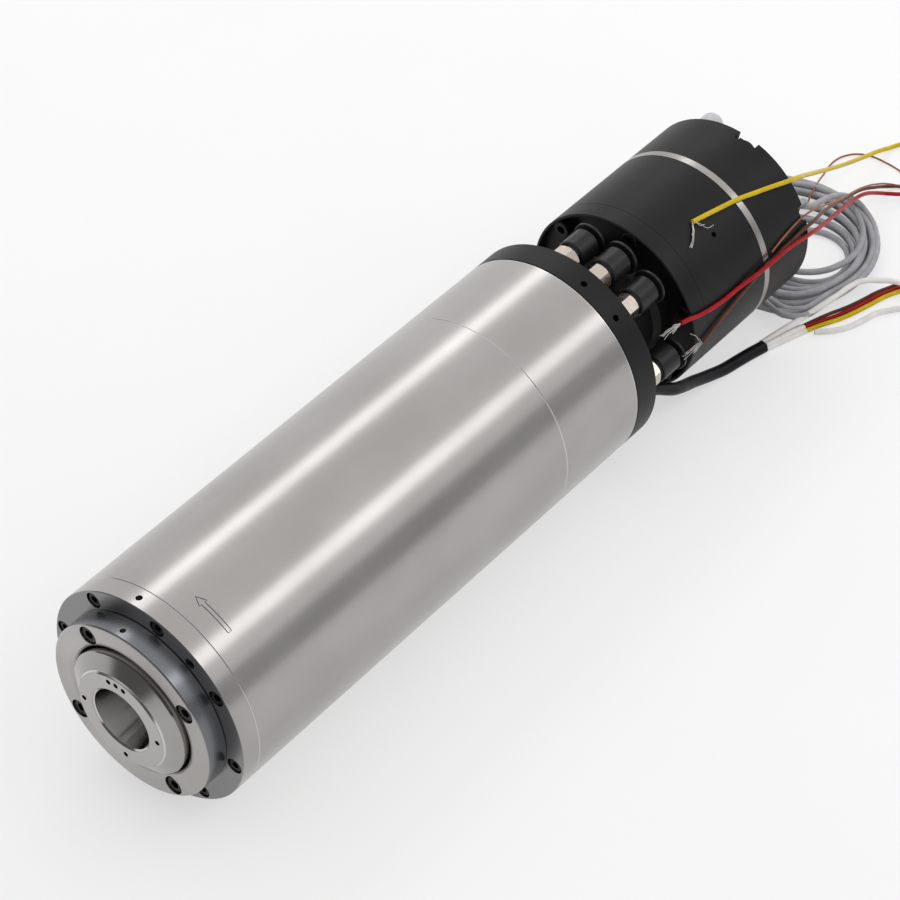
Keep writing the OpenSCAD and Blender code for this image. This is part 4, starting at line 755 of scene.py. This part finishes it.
def ray_is(tree, *kinds):
    """1 for a ray of one of these kinds, and 0 for any other."""
    rays = tree.nodes.new("ShaderNodeLightPath")
    hit = rays.outputs[kinds[0]]
    for kind in kinds[1:]:
        either = tree.nodes.new("ShaderNodeMath")
        either.operation = "MAXIMUM"
        tree.links.new(hit, either.inputs[0])
        tree.links.new(rays.outputs[kind], either.inputs[1])
        hit = either.outputs[0]
    return hit


def mix_by(tree, share, first, second, surface):
    """Puts a mix of two shaders on a surface, with this share of the second."""
    mix = tree.nodes.new("ShaderNodeMixShader")
    tree.links.new(share, mix.inputs["Fac"])
    tree.links.new(first, mix.inputs[1])
    tree.links.new(second, mix.inputs[2])
    tree.links.new(mix.outputs["Shader"], surface)


def stand_card(name, place, rotation, scale, dark, light):
    """A matt card that light and mirrors meet and the camera looks through."""
    bpy.ops.mesh.primitive_plane_add(size=1, location=place, rotation=rotation)
    card = bpy.context.object
    card.name = name
    card.scale = (*scale, 1)
    finish, shader = open_finish(name, light, 0.9)
    vary_colour(finish, shader, grain(finish, (9, 9, 9)), dark, light)
    tree = finish.node_tree
    clear = tree.nodes.new("ShaderNodeBsdfTransparent")
    mix_by(tree, ray_is(tree, "Is Camera Ray"), shader.outputs["BSDF"], clear.outputs["BSDF"],
        tree.nodes["Material Output"].inputs["Surface"])
    card.data.materials.append(finish)
    return card


bpy.ops.mesh.primitive_plane_add(size=FLOOR_SIZE, location=(0.2, 0, bench_height - FLOOR_GAP))
floor = bpy.context.object
floor.name = "paper_floor"
paper, paper_shader = open_finish("white_paper", (0.93, 0.93, 0.93), 0.9)
vary_colour(paper, paper_shader, grain(paper, (9, 9, 9)), (0.925, 0.925, 0.925), (0.94, 0.94, 0.94))
paper_tree = paper.node_tree
paper_share = paper_tree.nodes.new("ShaderNodeMath")
paper_share.operation = "MULTIPLY"
paper_share.inputs[1].default_value = PAPER_GLOW
paper_tree.links.new(ray_is(paper_tree, "Is Camera Ray", "Is Glossy Ray"), paper_share.inputs[0])
paper_white = paper_tree.nodes.new("ShaderNodeEmission")
paper_white.inputs["Strength"].default_value = 1.0
mix_by(paper_tree, paper_share.outputs[0], paper_shader.outputs["BSDF"],
    paper_white.outputs["Emission"], paper_tree.nodes["Material Output"].inputs["Surface"])
floor.data.materials.append(paper)

grey_card = stand_card("grey_card", (1.2, -1.6, 0.42), (math.radians(90), 0, 0), (2.4, 0.75),
    (0.53, 0.53, 0.53), (0.57, 0.57, 0.57))
dark_card = stand_card("dark_card", (-1.0, 1.0, 0.45), (0, math.radians(90), 0), (1.0, 4.0),
    (0.13, 0.13, 0.13), (0.16, 0.16, 0.16))


def strip_lamp(name, azimuth, height, power):
    """A studio strip parallel to the body, seen from it under these angles in degrees, with its
    power in watts."""
    a, e = math.radians(azimuth), math.radians(height)
    away = Vector((math.sin(a) * math.cos(e), -math.cos(a) * math.cos(e), math.sin(e)))
    bpy.ops.object.light_add(type="AREA", location=Vector((0.2, 0, 0)) + away * STRIP_DISTANCE)
    lamp = bpy.context.object
    lamp.name = name
    lamp.rotation_euler = (math.atan2(-away.y, away.z), 0, 0)
    lamp.data.shape = "RECTANGLE"
    lamp.data.size = STRIP_LENGTH
    lamp.data.size_y = STRIP_WIDTH
    lamp.data.energy = power


strip_lamp("back_strip", 133.6, 40.4, 3.7)
strip_lamp("front_strip", 47.7, 41.8, 3.1)

world = bpy.context.scene.world or bpy.data.worlds.new("studio")
bpy.context.scene.world = world
world.use_nodes = True
sky = world.node_tree
sky.nodes.clear()
fill = sky.nodes.new("ShaderNodeBackground")
white = sky.nodes.new("ShaderNodeBackground")
for background, strength in ((fill, FILL_STRENGTH), (white, 1.0)):
    background.inputs["Color"].default_value = (1, 1, 1, 1)
    background.inputs["Strength"].default_value = strength
sky_output = sky.nodes.new("ShaderNodeOutputWorld")
seen = ray_is(sky, "Is Camera Ray", "Is Glossy Ray", "Is Transmission Ray")
mix_by(sky, seen, fill.outputs["Background"], white.outputs["Background"],
    sky_output.inputs["Surface"])

bpy.context.scene.view_settings.view_transform = "Standard"
